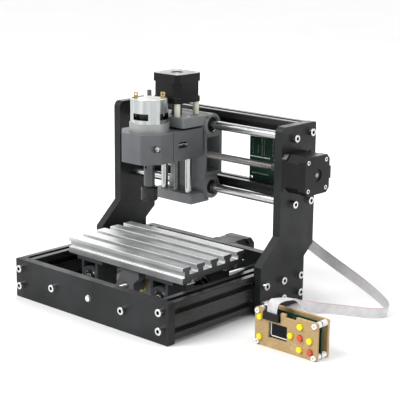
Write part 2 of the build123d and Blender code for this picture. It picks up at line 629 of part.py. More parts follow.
with BuildPart() as terminals:
    with PolarLocations(15, 2, start_angle=45):
        with Locations((0, 0, CAN_Z[1] - 1)):
            Box(5, 0.8, 8, align=(Align.CENTER, Align.CENTER, Align.MIN))
            with Locations((0, 0, 5.5)):
                Cylinder(0.9, 4, rotation=(90, 0, 0), mode=Mode.SUBTRACT)
PIECES["spindle_terminals"] = placed(terminals.part, (*spindle_axis, 0))

# turning parts of the spindle
NUT_Z = (109.6, 125.6)
with BuildPart() as spindle_shaft:  # motor shaft and armature
    with Locations((0, 0, 139)):
        Cylinder(SHAFT_R, 97, align=(Align.CENTER, Align.CENTER, Align.MIN))
    with Locations((0, 0, 170)):
        Cylinder(14, 40, align=(Align.CENTER, Align.CENTER, Align.MIN))
PIECES["spindle_shaft"] = placed(spindle_shaft.part, (*spindle_axis, 0))

with BuildPart() as collet_holder:
    with BuildSketch(Plane.XZ):
        Polygon(
            (5.6, 112.5), (6.9, 112.5), (6.9, 124), (6.2, 125), (6.2, 154), (SHAFT_R, 154),
            (SHAFT_R, 139), (3.6, 139), (3.6, 130),
            align=None,
        )
    revolve(axis=Axis.Z)
    with Locations((0, 0, 148)):
        Cylinder(1.5, 12, align=(Align.CENTER, Align.CENTER, Align.MIN), rotation=(90, 0, 0),
                 mode=Mode.SUBTRACT)
PIECES["collet_holder"] = placed(collet_holder.part, (*spindle_axis, 0))

with BuildPart() as collet:
    with BuildSketch(Plane.XZ):
        Polygon((TOOL_R, 109), (4.1, 109), (4.1, 112.5), (5.5, 112.5), (3.5, 130), (TOOL_R, 130),
                align=None)
    revolve(axis=Axis.Z)
    with Locations((0, 0, 107)):
        with PolarLocations(TOOL_R + 3, 4):
            Box(6.4, 0.4, 16, align=(Align.CENTER, Align.CENTER, Align.MIN), mode=Mode.SUBTRACT)
PIECES["collet"] = placed(collet.part, (*spindle_axis, 0))

with BuildPart() as collet_nut:
    with BuildSketch(Plane.XY.offset(NUT_Z[0])):
        Circle(9.5)
    extrude(amount=NUT_Z[1] - NUT_Z[0])
    chamfer(collet_nut.edges().filter_by(GeomType.CIRCLE), 1)
    with BuildSketch(Plane.XY.offset(NUT_Z[0] + 3)):
        Circle(12)
        RegularPolygon(8.6, 6, major_radius=False, mode=Mode.SUBTRACT)
    extrude(amount=9, mode=Mode.SUBTRACT)
    Cylinder(4.2, 600, mode=Mode.SUBTRACT)
    with Locations((0, 0, 112.5)):
        Cylinder(6.9, 30, align=(Align.CENTER, Align.CENTER, Align.MIN), mode=Mode.SUBTRACT)
PIECES["collet_nut"] = placed(collet_nut.part, (*spindle_axis, 0))

# ---------------------------------------------------------------- control board
BOARD_T = 1.6
board_holes = [(x, z) for x in (BOARD_X[0] + 3.5, BOARD_X[1] - 3.5) for z in (128, BEAM_Z[0])]
with BuildPart() as control_board:
    with BuildSketch(Plane.XZ.offset(-BOARD_Y)):
        with Locations((sum(BOARD_X) / 2, sum(BOARD_Z) / 2)):
            Rectangle(BOARD_X[1] - BOARD_X[0], BOARD_Z[1] - BOARD_Z[0])
        with Locations(*board_holes):
            Circle(1.6, mode=Mode.SUBTRACT)
    extrude(amount=-BOARD_T)
PIECES["control_board"] = control_board.part

board_back = BOARD_Y + BOARD_T
with BuildPart() as heat_sinks:
    for x in (46, 66, 86):
        box((x - 7, x + 7), (board_back, board_back + 4), (163, 177))
        for fin in range(4):
            fin_x = x - 7 + 0.6 + fin * 4.0
            box((fin_x - 0.6, fin_x + 1), (board_back + 4, board_back + 12), (163, 177))
PIECES["driver_heat_sinks"] = heat_sinks.part

SOCKET_X, SOCKET_Z = 90.0, 130.0
pad_socket_x, pad_socket_z = PAD_X + 22.3, 34.0
ribbon_sockets = (  # middle, the board's face, which way it stands out, and how far
    (SOCKET_X, SOCKET_Z, board_back, 1, 8.5),
    (pad_socket_x, pad_socket_z, PAD_BOARD_Y, -1, 6.0),
)
with BuildPart() as board_connectors:
    for x in (46, 66, 86):
        box((x - 8, x + 8), (board_back, board_back + 8), (146, 156))
        box((x - 6.5, x + 6.5), (board_back + 2, board_back + 8.1), (148, 154), mode=Mode.SUBTRACT)
    box((38, 53), (board_back, board_back + 10), (181, 193))
    box((58, 70), (board_back, board_back + 11), (183, 194))
    box((36, 62), (board_back, board_back + 9), (129, 138))
    for x, z, back, out, height in ribbon_sockets:
        box((x - 10.5, x + 10.5), sorted((back, back + out * height)), (z - 4.4, z + 4.4))
        hollow = sorted((back + out * 2, back + out * (height + 0.5)))
        box((x - 9, x + 9), hollow, (z - 3.2, z + 3.2), mode=Mode.SUBTRACT)
PIECES["board_connectors"] = board_connectors.part

# ---------------------------------------------------------------- hand pad
pad_holes = [(PAD_X + x, z) for x in (HOLE_IN, PAD_W - HOLE_IN) for z in (HOLE_IN, PAD_H - HOLE_IN)]
pad_back = PAD_Y + PAD_DEPTH
window = (PAD_X + 17.8, PAD_X + 41.8, 10.7, 27.2)
button_places = {name: (PAD_X + x, z) for name, (x, z) in BUTTONS.items()}


with BuildPart() as pad_front_panel:
    with BuildSketch(Plane.XZ.offset(-PAD_Y)) as s:
        with Locations((PAD_X + PAD_W / 2, PAD_H / 2)):
            RectangleRounded(PAD_W, PAD_H, 3)
        with Locations(*pad_holes):
            Circle(1.6, mode=Mode.SUBTRACT)
        with Locations(((window[0] + window[1]) / 2, (window[2] + window[3]) / 2)):
            Rectangle(window[1] - window[0], window[3] - window[2], mode=Mode.SUBTRACT)
        with Locations(*button_places.values()):
            Circle(BUTTON_R + 0.35, mode=Mode.SUBTRACT)
        with Locations((pad_socket_x, PAD_H)):
            Rectangle(22, 2 * (PAD_H - 29.2), mode=Mode.SUBTRACT)
        with Locations((PAD_X + 46, PAD_H)):
            Rectangle(14, 2 * 3.6, mode=Mode.SUBTRACT)
    extrude(amount=-PANEL_T)
PIECES["pad_front_panel"] = pad_front_panel.part

with BuildPart() as pad_rear_panel:
    with BuildSketch(Plane.XZ.offset(-(PAD_Y + PAD_DEPTH - PANEL_T))):
        with Locations((PAD_X + PAD_W / 2, PAD_H / 2)):
            RectangleRounded(PAD_W, PAD_H, 3)
        with Locations(*pad_holes):
            Circle(1.6, mode=Mode.SUBTRACT)
    extrude(amount=-PANEL_T)
PIECES["pad_rear_panel"] = pad_rear_panel.part

with BuildPart() as pad_board:
    with BuildSketch(Plane.XZ.offset(-PAD_BOARD_Y)):
        with Locations((PAD_X + PAD_W / 2, PAD_H / 2)):
            RectangleRounded(PAD_W - 2, PAD_H - 1, 2)
        with Locations(*pad_holes):
            Circle(1.6, mode=Mode.SUBTRACT)
    extrude(amount=-BOARD_T)
    box((PAD_X + 44.6, PAD_X + 54.6), (PAD_BOARD_Y - 3, PAD_BOARD_Y), (25, 38))  # card socket
PIECES["pad_board"] = pad_board.part

spacer_r, screw_r = 3.2, 1.5
beam_slot_y = BEAM_Y + CELL / 2 - 1.8
with BuildPart() as board_fixings:  # spacers, screws and nuts of the pad and the control board
    for y0, y1 in ((PAD_Y + PANEL_T, PAD_BOARD_Y), (PAD_BOARD_Y + BOARD_T, pad_back - PANEL_T)):
        with BuildSketch(Plane.XZ.offset(-y0)):
            with Locations(*pad_holes):
                Circle(spacer_r)
                Circle(screw_r, mode=Mode.SUBTRACT)
        extrude(amount=y0 - y1)
pad_spacers = board_fixings.part
with BuildPart() as pad_screws:
    with BuildSketch(Plane.XZ.offset(-PAD_Y)):
        with Locations(*pad_holes):
            Circle(screw_r)
    extrude(amount=-PAD_DEPTH)
    with BuildSketch(Plane.XZ.offset(-PAD_Y)):
        with Locations(*pad_holes):
            Circle(2.8)
            RegularPolygon(1.1, 6, mode=Mode.SUBTRACT)
    extrude(amount=1.6)
    with BuildSketch(Plane.XZ.offset(-pad_back)):
        with Locations(*pad_holes):
            RegularPolygon(2.75, 6, major_radius=False)
    extrude(amount=-2)
with BuildPart() as board_posts:
    upper_holes = [(x, z) for x, z in board_holes if z == BEAM_Z[0]]
    with BuildSketch(Plane.XZ.offset(-beam_slot_y)):
        with Locations(*upper_holes):
            Circle(2.9)
    extrude(amount=beam_slot_y - BOARD_Y)
    with BuildSketch(Plane.XZ.offset(-BOARD_Y)):
        with Locations(*upper_holes):
            Circle(1.6)
    extrude(amount=-4)
PIECES["board_fixings"] = Compound(
    [*pad_spacers.solids(), *pad_screws.part.solids(), *board_posts.part.solids()]
)

with BuildPart() as pad_screen:
    box((window[0] - 0.6, window[1] + 0.6), (PAD_Y + PANEL_T + 0.1, PAD_BOARD_Y),
        (window[2] - 2, window[3] + 0.9))
PIECES["pad_screen"] = pad_screen.part

SWITCH, SWITCH_FRONT = 2.25, PAD_BOARD_Y - 3.6  # half a switch's width, and its front
with BuildPart() as pad_switches:
    for x, z in button_places.values():
        box((x - SWITCH, x + SWITCH), (SWITCH_FRONT, PAD_BOARD_Y), (z - SWITCH, z + SWITCH))
PIECES["pad_switches"] = pad_switches.part

for name, (x, z) in button_places.items():
    with BuildPart() as button:
        with BuildSketch(Plane.XZ.offset(-(SWITCH_FRONT - 0.6))):
            with Locations((x, z)):
                Circle(BUTTON_R)
        extrude(amount=SWITCH_FRONT - 0.6 - (PAD_Y - 2.4))
        fillet(button.edges().sort_by(Axis.Y)[0], 0.8)
    PIECES[f"pad_button_{name}"] = button.part

# ---------------------------------------------------------------- ribbon cable
RIBBON_T = 4.0  # round section with the area of a flat ten-wire ribbon
plug_low = SOCKET_Z - 9.0
pad_plug_y = PAD_BOARD_Y - 11.5  # front of the plug in the pad
pad_end_y = PAD_BOARD_Y - 8.8  # the ribbon's middle where it enters that plug
ribbon_route = [
    (SOCKET_X, board_back + 12.5, plug_low),
    (SOCKET_X, board_back + 12.5, 101),
    (90.5, 133.5, 81),
    (99, 134.5, 63.5),
    (121, 135, 52.6),
    (152, 135, 39.9),
    (183, 135.5, 27.5),
    (207, 136, 16),
    (225, 132, 8),
    (231, 119, 6),
    (221, 106, 6),
    (201, 97.5, 6),
    (178, 87.5, 6),
    (164, 78, 6.5),
    (160, 62, 12),
    (166, 46, 20),
    (177, 28, 29),
    (189, 9, 37.5),
    (199, -8, 45.5),
    (204, -23, 50),
    (201.5, -35, 51),
    (pad_socket_x, pad_end_y, 47.5),
    (pad_socket_x, pad_end_y, pad_socket_z + 4),
]


def arc_radii(points):
    """For each inner point, 0.45 of its shorter run over the tangent of half its turn."""
    radii = []
    for before, point, after in zip(points, points[1:], points[2:]):
        came, goes = Vector(*point) - Vector(*before), Vector(*after) - Vector(*point)
        turn = radians(came.get_angle(goes))
        radii.append(0.45 * min(came.length, goes.length) / tan(turn / 2))
    return radii


ribbon_radii = arc_radii(ribbon_route)
with BuildPart() as ribbon_cable:
    with BuildLine() as route:
        FilletPolyline(*ribbon_route, radius=ribbon_radii)
    with BuildSketch(route.line ^ 0):
        Circle(RIBBON_T / 2)
    sweep()
PIECES["ribbon_cable"] = ribbon_cable.part
ribbon_length = route.wires()[0].length
print("ribbon length", round(ribbon_length, 1), "radii", [round(r) for r in ribbon_radii])
ribbon_section = pi * (RIBBON_T / 2) ** 2
print("volume over section times length", ribbon_cable.part.volume / ribbon_section / ribbon_length)

with BuildPart() as ribbon_plugs:
    box((SOCKET_X - 8.8, SOCKET_X + 8.8), (board_back + 2.2, board_back + 15),
        (SOCKET_Z - 3, SOCKET_Z + 3))
    box((SOCKET_X - 10, SOCKET_X + 10), (board_back + 8.7, board_back + 15),
        (plug_low, SOCKET_Z + 3))
    box((pad_socket_x - 8.8, pad_socket_x + 8.8), (pad_plug_y, PAD_BOARD_Y - 2.2),
        (pad_socket_z - 3, pad_socket_z + 3))
    box((pad_socket_x - 10, pad_socket_x + 10), (pad_plug_y, PAD_BOARD_Y - 6.2),
        (pad_socket_z - 4, pad_socket_z + 4))
PIECES["ribbon_plugs"] = ribbon_plugs.part

# ---------------------------------------------------------------- write
os.makedirs("parts", exist_ok=True)
for label, piece in PIECES.items():
    moved = piece.moved(ORIGIN_SHIFT)
    moved.label = label
    export_step(moved, f"parts/{label}.step")
whole = Compound([p for n, p in PIECES.items() if n != "ribbon_cable"]).bounding_box()
print("pieces", len(PIECES), "box", whole.min, whole.max, "middle", whole.center())
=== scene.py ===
"""Looks of the desktop router: materials, threads, ribbon and board details around the CAD frame."""
import json
from math import cos, pi, radians, sin

import bmesh
import bpy
from mathutils import Matrix, Vector


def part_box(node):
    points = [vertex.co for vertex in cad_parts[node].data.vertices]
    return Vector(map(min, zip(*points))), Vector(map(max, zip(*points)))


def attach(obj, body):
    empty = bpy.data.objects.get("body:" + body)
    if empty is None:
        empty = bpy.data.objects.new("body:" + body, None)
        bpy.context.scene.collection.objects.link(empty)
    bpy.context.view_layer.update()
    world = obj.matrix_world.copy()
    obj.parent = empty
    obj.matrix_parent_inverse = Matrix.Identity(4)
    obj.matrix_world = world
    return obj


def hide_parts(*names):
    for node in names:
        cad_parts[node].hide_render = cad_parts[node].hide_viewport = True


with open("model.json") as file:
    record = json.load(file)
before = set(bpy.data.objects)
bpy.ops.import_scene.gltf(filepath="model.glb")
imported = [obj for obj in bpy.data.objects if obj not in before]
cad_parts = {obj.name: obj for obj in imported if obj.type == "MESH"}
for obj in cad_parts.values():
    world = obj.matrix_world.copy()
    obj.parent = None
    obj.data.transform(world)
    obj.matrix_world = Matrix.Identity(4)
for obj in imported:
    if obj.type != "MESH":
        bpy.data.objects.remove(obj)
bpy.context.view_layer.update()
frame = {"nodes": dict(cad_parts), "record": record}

NODES = frame["nodes"]
MM = 0.001
BODY_OF = {n: body for body, members in frame["record"]["behaviour"]["bodies"].items() for n in members}
SLOT_OF = {s["node"]: s["material_slot"] for s in frame["record"]["subparts"]}
AXES = {"X": Vector((1, 0, 0)), "Y": Vector((0, 1, 0)), "Z": Vector((0, 0, 1))}


# ------------------------------------------------------------------ material kit
class Nodes:
    """A new material, its Principled shader, and short ways to add nodes to it."""

    def __init__(self, name, metallic=0.0, coat=0.0, specular=0.5):
        self.material = bpy.data.materials.new(name)
        self.material.use_nodes = True
        self.tree = self.material.node_tree
        self.shader = self.tree.nodes["Principled BSDF"]
        self.shader.inputs["Metallic"].default_value = metallic
        self.shader.inputs["Coat Weight"].default_value = coat
        self.shader.inputs["Coat Roughness"].default_value = 0.15
        self.shader.inputs["Specular IOR Level"].default_value = specular
        self.place = self.add("ShaderNodeTexCoord").outputs["Object"]

    def add(self, kind, **values):
        node = self.tree.nodes.new(kind)
        for key, value in values.items():
            setattr(node, key, value)
        return node

    def link(self, output, target):
        self.tree.links.new(output, target)

    def stretched(self, scale):
        """Object coordinates stretched by a scale along each axis."""
        mapping = self.add("ShaderNodeMapping")
        mapping.inputs["Scale"].default_value = scale
        self.link(self.place, mapping.inputs["Vector"])
        return mapping.outputs["Vector"]

    def noise(self, scale, detail=3.0, vector=None):
        node = self.add("ShaderNodeTexNoise")
        node.inputs["Scale"].default_value = scale
        node.inputs["Detail"].default_value = detail
        self.link(vector or self.place, node.inputs["Vector"])
        return node.outputs["Fac"]

    def ranged(self, value, low, high, start=0.3, stop=0.7):
        node = self.add("ShaderNodeMapRange")
        self.link(value, node.inputs["Value"])
        node.inputs["From Min"].default_value = start
        node.inputs["From Max"].default_value = stop
        node.inputs["To Min"].default_value = low
        node.inputs["To Max"].default_value = high
        return node.outputs["Result"]

    def mixed(self, factor, a, b):
        node = self.add("ShaderNodeMix", data_type="RGBA")
        self.link(factor, node.inputs["Factor"])
        for value, target in ((a, node.inputs["A"]), (b, node.inputs["B"])):
            if isinstance(value, tuple):
                target.default_value = (*value, 1)
            else:
                self.link(value, target)
        return node.outputs["Result"]

    def edge_mask(self, radius):
        """1 along convex and concave edges, 0 on the flats."""
        bevel = self.add("ShaderNodeBevel", samples=4)
        bevel.inputs["Radius"].default_value = radius
        dot = self.add("ShaderNodeVectorMath", operation="DOT_PRODUCT")
        self.link(bevel.outputs["Normal"], dot.inputs[0])
        self.link(self.add("ShaderNodeNewGeometry").outputs["True Normal"], dot.inputs[1])
        return self.ranged(dot.outputs["Value"], 1.0, 0.0, 0.8, 0.99)

    def bump(self, heights, distance=0.0002):
        """Bump from (height, strength) pairs, one on top of the other."""
        normal = None
        for height, strength in heights:
            node = self.add("ShaderNodeBump")
            node.inputs["Strength"].default_value = strength
            node.inputs["Distance"].default_value = distance
            self.link(height, node.inputs["Height"])
            if normal:
                self.link(normal, node.inputs["Normal"])
            normal = node.outputs["Normal"]
        self.link(normal, self.shader.inputs["Normal"])

    def colour(self, output):
        self.link(output, self.shader.inputs["Base Color"])

    def roughness(self, output):
        self.link(output, self.shader.inputs["Roughness"])


def shade(colour, factor):
    return tuple(min(1.0, c * factor) for c in colour)


def plastic(name, colour, rough=0.5, grain=900, grain_strength=0.25, wear=0.0, layers=0.0, coat=0.0,
            specular=0.5, spread=0.16):
    """Moulded plastic: cloudy tone, fine grain and, if asked, rubbed edges and printed layer lines."""
    m = Nodes(name, coat=coat, specular=specular)
    cloud = m.noise(28, 4)
    tone = m.mixed(m.ranged(cloud, 0, 1), shade(colour, 1 - spread), shade(colour, 1 + spread))
    if wear:
        worn = m.add("ShaderNodeMath", operation="MULTIPLY")
        m.link(m.edge_mask(0.0007), worn.inputs[0])
        m.link(m.ranged(m.noise(160, 3), 0, wear, 0.35, 0.7), worn.inputs[1])
        lighter = tuple(c * 1.6 + 0.06 for c in colour)
        tone = m.mixed(worn.outputs["Value"], tone, lighter)
    m.colour(tone)
    fine = m.noise(grain, 2)
    m.roughness(m.ranged(m.noise(60, 5), rough - 0.08, rough + 0.1))
    heights = [(fine, grain_strength)]
    if layers:
        lines = m.add("ShaderNodeTexWave", wave_type="BANDS", bands_direction="Z")
        lines.inputs["Scale"].default_value = 160
        lines.inputs["Distortion"].default_value = 0.4
        m.link(m.place, lines.inputs["Vector"])
        heights.append((lines.outputs["Fac"], layers))
    m.bump(heights)
    return m.material


MARK_SCALES = {  # noise scales for marks along an axis, or for a grain without direction
    "X": (12, 1500, 1500), "Y": (1500, 12, 1500), "Z": (1500, 1500, 12), None: (700, 700, 700),
}


def metal(name, colour, rough=0.3, along=None, streak=0.25, pitting=0.0, metallic=1.0, spread=0.12,
          specular=0.5):
    """Metal with fine marks, along one axis or without direction, and patches of more or less polish."""
    m = Nodes(name, metallic=metallic, specular=specular)
    marks = m.noise(1.0, 3, m.stretched(MARK_SCALES[along]))
    patches = m.noise(35, 4)
    m.colour(m.mixed(m.ranged(patches, 0, 1), shade(colour, 1 - spread), shade(colour, 1 + spread)))
    both = m.add("ShaderNodeMath", operation="ADD")
    m.link(m.ranged(marks, -0.06, 0.06), both.inputs[0])
    m.link(m.ranged(patches, rough - 0.05, rough + 0.06), both.inputs[1])
    m.roughness(both.outputs["Value"])
    heights = [(marks, streak)]
    if pitting:
        heights.append((m.noise(420, 4), pitting))
    m.bump(heights, 0.00008)
    return m.material


def plated_can(name, colour):
    """Bright plated can with soft upright streaks, lighter and darker in colour: real streaks, and
    painted upright highlight stripes.
    """
    m = Nodes(name, metallic=1.0)
    streaks = m.noise(1.0, 3, m.stretched((150, 150, 5)))
    # the streaks' lighter and darker colour also paints in the can's upright highlight stripes
    m.colour(m.mixed(m.ranged(streaks, 0, 1), shade(colour, 0.72), shade(colour, 1.22)))
    m.roughness(m.ranged(streaks, 0.34, 0.18))
    m.bump([(m.noise(1.0, 3, m.stretched((1500, 1500, 12))), 0.02), (m.noise(420, 4), 0.01)], 0.00008)
    return m.material


def laminated(name, colour):
    """Motor stack of thin sheets: one material with fine lines across each axis, by that axis."""
    materials = {}
    for axis in "XYZ":
        m = Nodes(f"{name}_{axis.lower()}", specular=0.2)
        m.colour(m.mixed(m.ranged(m.noise(40, 4), 0, 1), shade(colour, 0.75), shade(colour, 1.3)))
        m.roughness(m.ranged(m.noise(90, 3), 0.35, 0.5))
        lines = m.add("ShaderNodeTexWave", wave_type="BANDS", bands_direction=axis)
        lines.inputs["Scale"].default_value = 320
        m.link(m.place, lines.inputs["Vector"])
        m.bump([(lines.outputs["Fac"], 0.5), (m.noise(900, 2), 0.1)], 0.0001)
        materials[axis] = m.material
    return materials


def circuit_board(name):
    """Green solder mask: bands of lighter green for the traces under it, and a fine grain."""
    m = Nodes(name, specular=0.3)
    cells = m.add("ShaderNodeTexBrick", offset=0.37, squash=1.0)
    cells.inputs["Scale"].default_value = 1
    cells.inputs["Mortar Size"].default_value = 0.0006
    cells.inputs["Brick Width"].default_value = 0.0085
    cells.inputs["Row Height"].default_value = 0.0034
    cells.inputs["Color1"].default_value = (0.0030, 0.0240, 0.0120, 1)
    cells.inputs["Color2"].default_value = (0.0040, 0.0300, 0.0150, 1)
    cells.inputs["Mortar"].default_value = (0.0090, 0.0620, 0.0310, 1)
    turn = m.add("ShaderNodeMapping")
    turn.inputs["Rotation"].default_value = (radians(90), 0, 0)
    m.link(m.place, turn.inputs["Vector"])
    m.link(turn.outputs["Vector"], cells.inputs["Vector"])
    cloud = m.ranged(m.noise(70, 4), 0, 0.45)
    m.colour(m.mixed(cloud, cells.outputs["Color"], (0.002, 0.016, 0.008)))
    m.roughness(m.ranged(m.noise(300, 3), 0.3, 0.45))
    m.bump([(cells.outputs["Fac"], 0.35), (m.noise(1500, 2), 0.08)], 0.0001)
    return m.material


def papered(name):
    """Acrylic sheet still under its tan backing paper, with fibres and a few scuffs."""
    m = Nodes(name)
    fibres = m.noise(1.0, 5, m.stretched((260, 260, 900)))
    tone = m.mixed(m.ranged(fibres, 0, 1), (0.34, 0.225, 0.090), (0.48, 0.335, 0.160))
    scuffs = m.ranged(m.noise(55, 6), 0, 0.5, 0.58, 0.75)
    tone = m.mixed(scuffs, tone, (0.60, 0.48, 0.30))
    m.colour(m.mixed(m.edge_mask(0.0004), tone, (0.80, 0.72, 0.55)))
    m.roughness(m.ranged(fibres, 0.55, 0.75))
    m.bump([(fibres, 0.3)], 0.0001)
    return m.material


def ribbon_vinyl(name, colour):
    """Slightly uneven, half-glossy cable insulation."""
    m = Nodes(name)
    m.colour(m.mixed(m.ranged(m.noise(120, 4), 0, 1), shade(colour, 0.9), shade(colour, 1.06)))
    m.roughness(m.ranged(m.noise(200, 3), 0.36, 0.5))
    m.bump([(m.noise(1800, 2), 0.12)], 0.00006)
    return m.material


def floor_paper(name):
    """Pale, almost plain paper."""
    m = Nodes(name)
    m.colour(m.mixed(m.ranged(m.noise(3, 2), 0, 1), (0.885, 0.885, 0.885), (0.9, 0.9, 0.9)))
    m.roughness(m.ranged(m.noise(8, 2), 0.55, 0.65))
    return m.material


STACKS = laminated("motor_laminations", (0.0065, 0.0065, 0.007))
MATERIALS = {  # by the record's material slots
    "black_plate": plastic("black_plate", (0.0112, 0.0122, 0.0130), 0.38, 1400, 0.16, wear=0.45,
                           specular=0.26, spread=0.55),
    "black_extrusion": metal("black_extrusion", (0.013, 0.0135, 0.014), 0.30, "Y", 0.2, metallic=0.15,
                             specular=0.4),
    "ground_steel": metal("ground_steel", (0.50, 0.505, 0.51), 0.16, None, 0.03, spread=0.05),
    "screw_steel": metal("screw_steel", (0.33, 0.325, 0.315), 0.38, None, 0.08),
    "bolt_steel": metal("bolt_steel", (0.70, 0.70, 0.70), 0.24, None, 0.12),
    "bearing_steel": metal("bearing_steel", (0.5, 0.5, 0.51), 0.28, None, 0.08),
    "coupler_black": metal("coupler_black", (0.03, 0.03, 0.03), 0.38, None, 0.1, metallic=0.4),
    "motor_black": plastic("motor_black", (0.0058, 0.0058, 0.0062), 0.36, 1600, 0.2, wear=0.4,
                           specular=0.2),
    "motor_stack": STACKS["Z"],
    "table_aluminium": metal("table_aluminium", (0.68, 0.685, 0.69), 0.40, "X", 0.16, 0.03,
                             metallic=0.88, spread=0.07),
    "black_plastic": plastic("black_plastic", (0.0105, 0.0105, 0.0115), 0.45, 1200, 0.3, wear=0.35,
                             specular=0.25),
    "brass": metal("brass", (0.58, 0.46, 0.21), 0.28, None, 0.08),
    "grey_plastic": plastic("grey_plastic", (0.118, 0.124, 0.132), 0.48, 1100, 0.22, wear=0.5,
                            layers=0.1, specular=0.35, spread=0.12),
    "cream_nylon": plastic("cream_nylon", (0.76, 0.73, 0.60), 0.42, 900, 0.1),
    "zinc_can": plated_can("zinc_can", (0.56, 0.585, 0.585)),
    "white_plastic": plastic("white_plastic", (0.80, 0.80, 0.77), 0.4, 900, 0.1, coat=0.1),
    "tool_steel": metal("tool_steel", (0.10, 0.103, 0.108), 0.33, None, 0.12, metallic=0.7),
    "dark_nut": metal("dark_nut", (0.012, 0.012, 0.013), 0.30, None, 0.15, metallic=0.3),
    "board_green": circuit_board("board_green"),
    "heat_sink": metal("heat_sink", (0.66, 0.66, 0.68), 0.3, "Z", 0.2),
    "papered_panel": papered("papered_panel"),
    "screen": plastic("screen", (0.004, 0.004, 0.007), 0.14, 1500, 0.03, specular=0.12),
    "yellow_key": plastic("yellow_key", (0.92, 0.72, 0.0), 0.3, 1200, 0.06, coat=0.2),
    "red_key": plastic("red_key", (0.62, 0.060, 0.030), 0.3, 1200, 0.06, coat=0.2),
    "ribbon_grey": ribbon_vinyl("ribbon_grey", (0.72, 0.72, 0.73)),
}
# painted shade: darker grey for the grooves between the ribbon's wires
RIBBON_GROOVE_SHADE = ribbon_vinyl("ribbon_groove_shade", (0.34, 0.34, 0.35))
RIBBON_EDGE = ribbon_vinyl("ribbon_edge_wire", (0.60, 0.46, 0.48))
TIN = metal("solder_tin", (0.85, 0.86, 0.84), 0.30, None, 0.1)
CHIP = plastic("chip_black", (0.015, 0.015, 0.016), 0.45, 1500, 0.15)
BEIGE = plastic("ceramic_beige", (0.55, 0.47, 0.33), 0.45, 1500, 0.1)
# painted sheen: lighter grey for the up-facing faces of the upright motor's caps
CAP_TOP_SHEEN = metal("rear_cap_painted_sheen", (0.14, 0.142, 0.145), 0.36, None, 0.12, metallic=0.4)
BARE = metal("machined_corner", (0.10, 0.10, 0.10), 0.40, None, 0.15, metallic=0.3)
DULL_ZINC = metal("dull_zinc", (0.41, 0.425, 0.42), 0.5, "Z", 0.02, metallic=0.75, spread=0.04)
# painted shade: near-black for screw sockets and the can's inside, where only shade falls
HOLLOW_SHADE = plastic("painted_hollow_shade", (0.004, 0.004, 0.004), 0.6, 700, 0.1, specular=0.1)
WINDING = metal("varnished_winding", (0.034, 0.030, 0.025), 0.5, "Z", 0.3, metallic=0.5)
OWN_LOOK = {  # pieces whose look differs a little from the rest of their slot
    "x_carriage_body": plastic("carriage_grey", (0.185, 0.193, 0.200), 0.48, 1100, 0.22, wear=0.5,
                               layers=0.1, specular=0.35, spread=0.12),
    "table_blocks": plastic("block_grey", (0.050, 0.054, 0.057), 0.45, 1200, 0.3, wear=0.5,
                            specular=0.35),
    "board_fixings": MATERIALS["white_plastic"],
}
# painted shade: dark dull metal on the table's cut ends
TABLE_END_SHADE = metal("table_end_shade", (0.085, 0.086, 0.088), 0.45, "Z", 0.3, metallic=0.5)
SEAL = plastic("rubber_seal", (0.010, 0.010, 0.010), 0.5, 1200, 0.2, specular=0.25)


# ------------------------------------------------------------------ mesh kit
RING_SIDES = 48
WELD = 2e-6  # CAD vertices closer than this, in metres, are one


def finished(name, mesh, materials, body, smooth):
    """A mesh as a piece that rides on a body, with smooth shading up to an angle in degrees."""
    piece = bpy.data.objects.new(name, mesh)
    bpy.context.scene.collection.objects.link(piece)
    for material in materials:
        mesh.materials.append(material)
    mesh.shade_smooth()
    mesh.set_sharp_from_angle(angle=radians(smooth))
    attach(piece, body)
    return piece


def from_bmesh(name, bm, material, body, smooth=30, extra=()):
    """A piece from a bmesh; its faces may use the extra materials, from 1 up."""
    mesh = bpy.data.meshes.new(name)
    bmesh.ops.recalc_face_normals(bm, faces=bm.faces)
    bm.to_mesh(mesh)
    bm.free()
    return finished(name, mesh, (material, *extra), body, smooth)


def turning(direction, at):
    """The place of something made along Z: its Z turned to a direction, and moved to a point."""
    return Matrix.Translation(at) @ Vector(direction).to_track_quat("Z", "Y").to_matrix().to_4x4()


def circle(bm, radius, height, place, count, segments):
    """Vertices on a circle about Z: the first count of its equal segments."""
    angles = [2 * pi * i / segments for i in range(count)]
    points = [Vector((radius * cos(a), radius * sin(a), height)) for a in angles]
    return [bm.verts.new(place @ point) for point in points]


def lathe(bm, profile, place, segments):
    """Turns (radius, height) points about Z; a radius of 0 closes the end."""
    rings = []
    for radius, height in profile:
        rings.append(circle(bm, radius, height, place, 1 if radius == 0 else segments, segments))
    for low, high in zip(rings, rings[1:]):
        for i in range(segments):
            j = (i + 1) % segments
            corners = [low[i % len(low)], low[j % len(low)], high[j % len(high)], high[i % len(high)]]
            unique = list(dict.fromkeys(corners))
            if len(unique) > 2:
                bm.faces.new(unique)


def ring(bm, profile, place, index=0):
    """A closed (radius, height) outline turned about Z."""
    rings = [circle(bm, radius, height, place, RING_SIDES, RING_SIDES) for radius, height in profile]
    for low, high in zip(rings, rings[1:] + rings[:1]):
        for i in range(RING_SIDES):
            j = (i + 1) % RING_SIDES
            bm.faces.new((low[i], low[j], high[j], high[i])).material_index = index


def block(bm, low, high, bevel):
    """A box between two corners, with rounded edges."""
    size = Vector(high) - Vector(low)
    middle = (Vector(high) + Vector(low)) / 2
    stretch = Matrix.Translation(middle) @ Matrix.Diagonal((*size, 1))
    made = bmesh.ops.create_cube(bm, size=1.0, matrix=stretch)
    edges = {edge for vert in made["verts"] for edge in vert.link_edges}
    bmesh.ops.bevel(bm, geom=list(edges), offset=bevel, segments=2, affect="EDGES", clamp_overlap=True)


def islands(bm):
    """The separate solids of a mesh, as lists of faces."""
    left, found = set(bm.faces), []
    while left:
        stack, group = [left.pop()], []
        while stack:
            face = stack.pop()
            group.append(face)
            for edge in face.edges:
                for other in edge.link_faces:
                    if other in left:
                        left.remove(other)
                        stack.append(other)
        found.append(group)
    return found


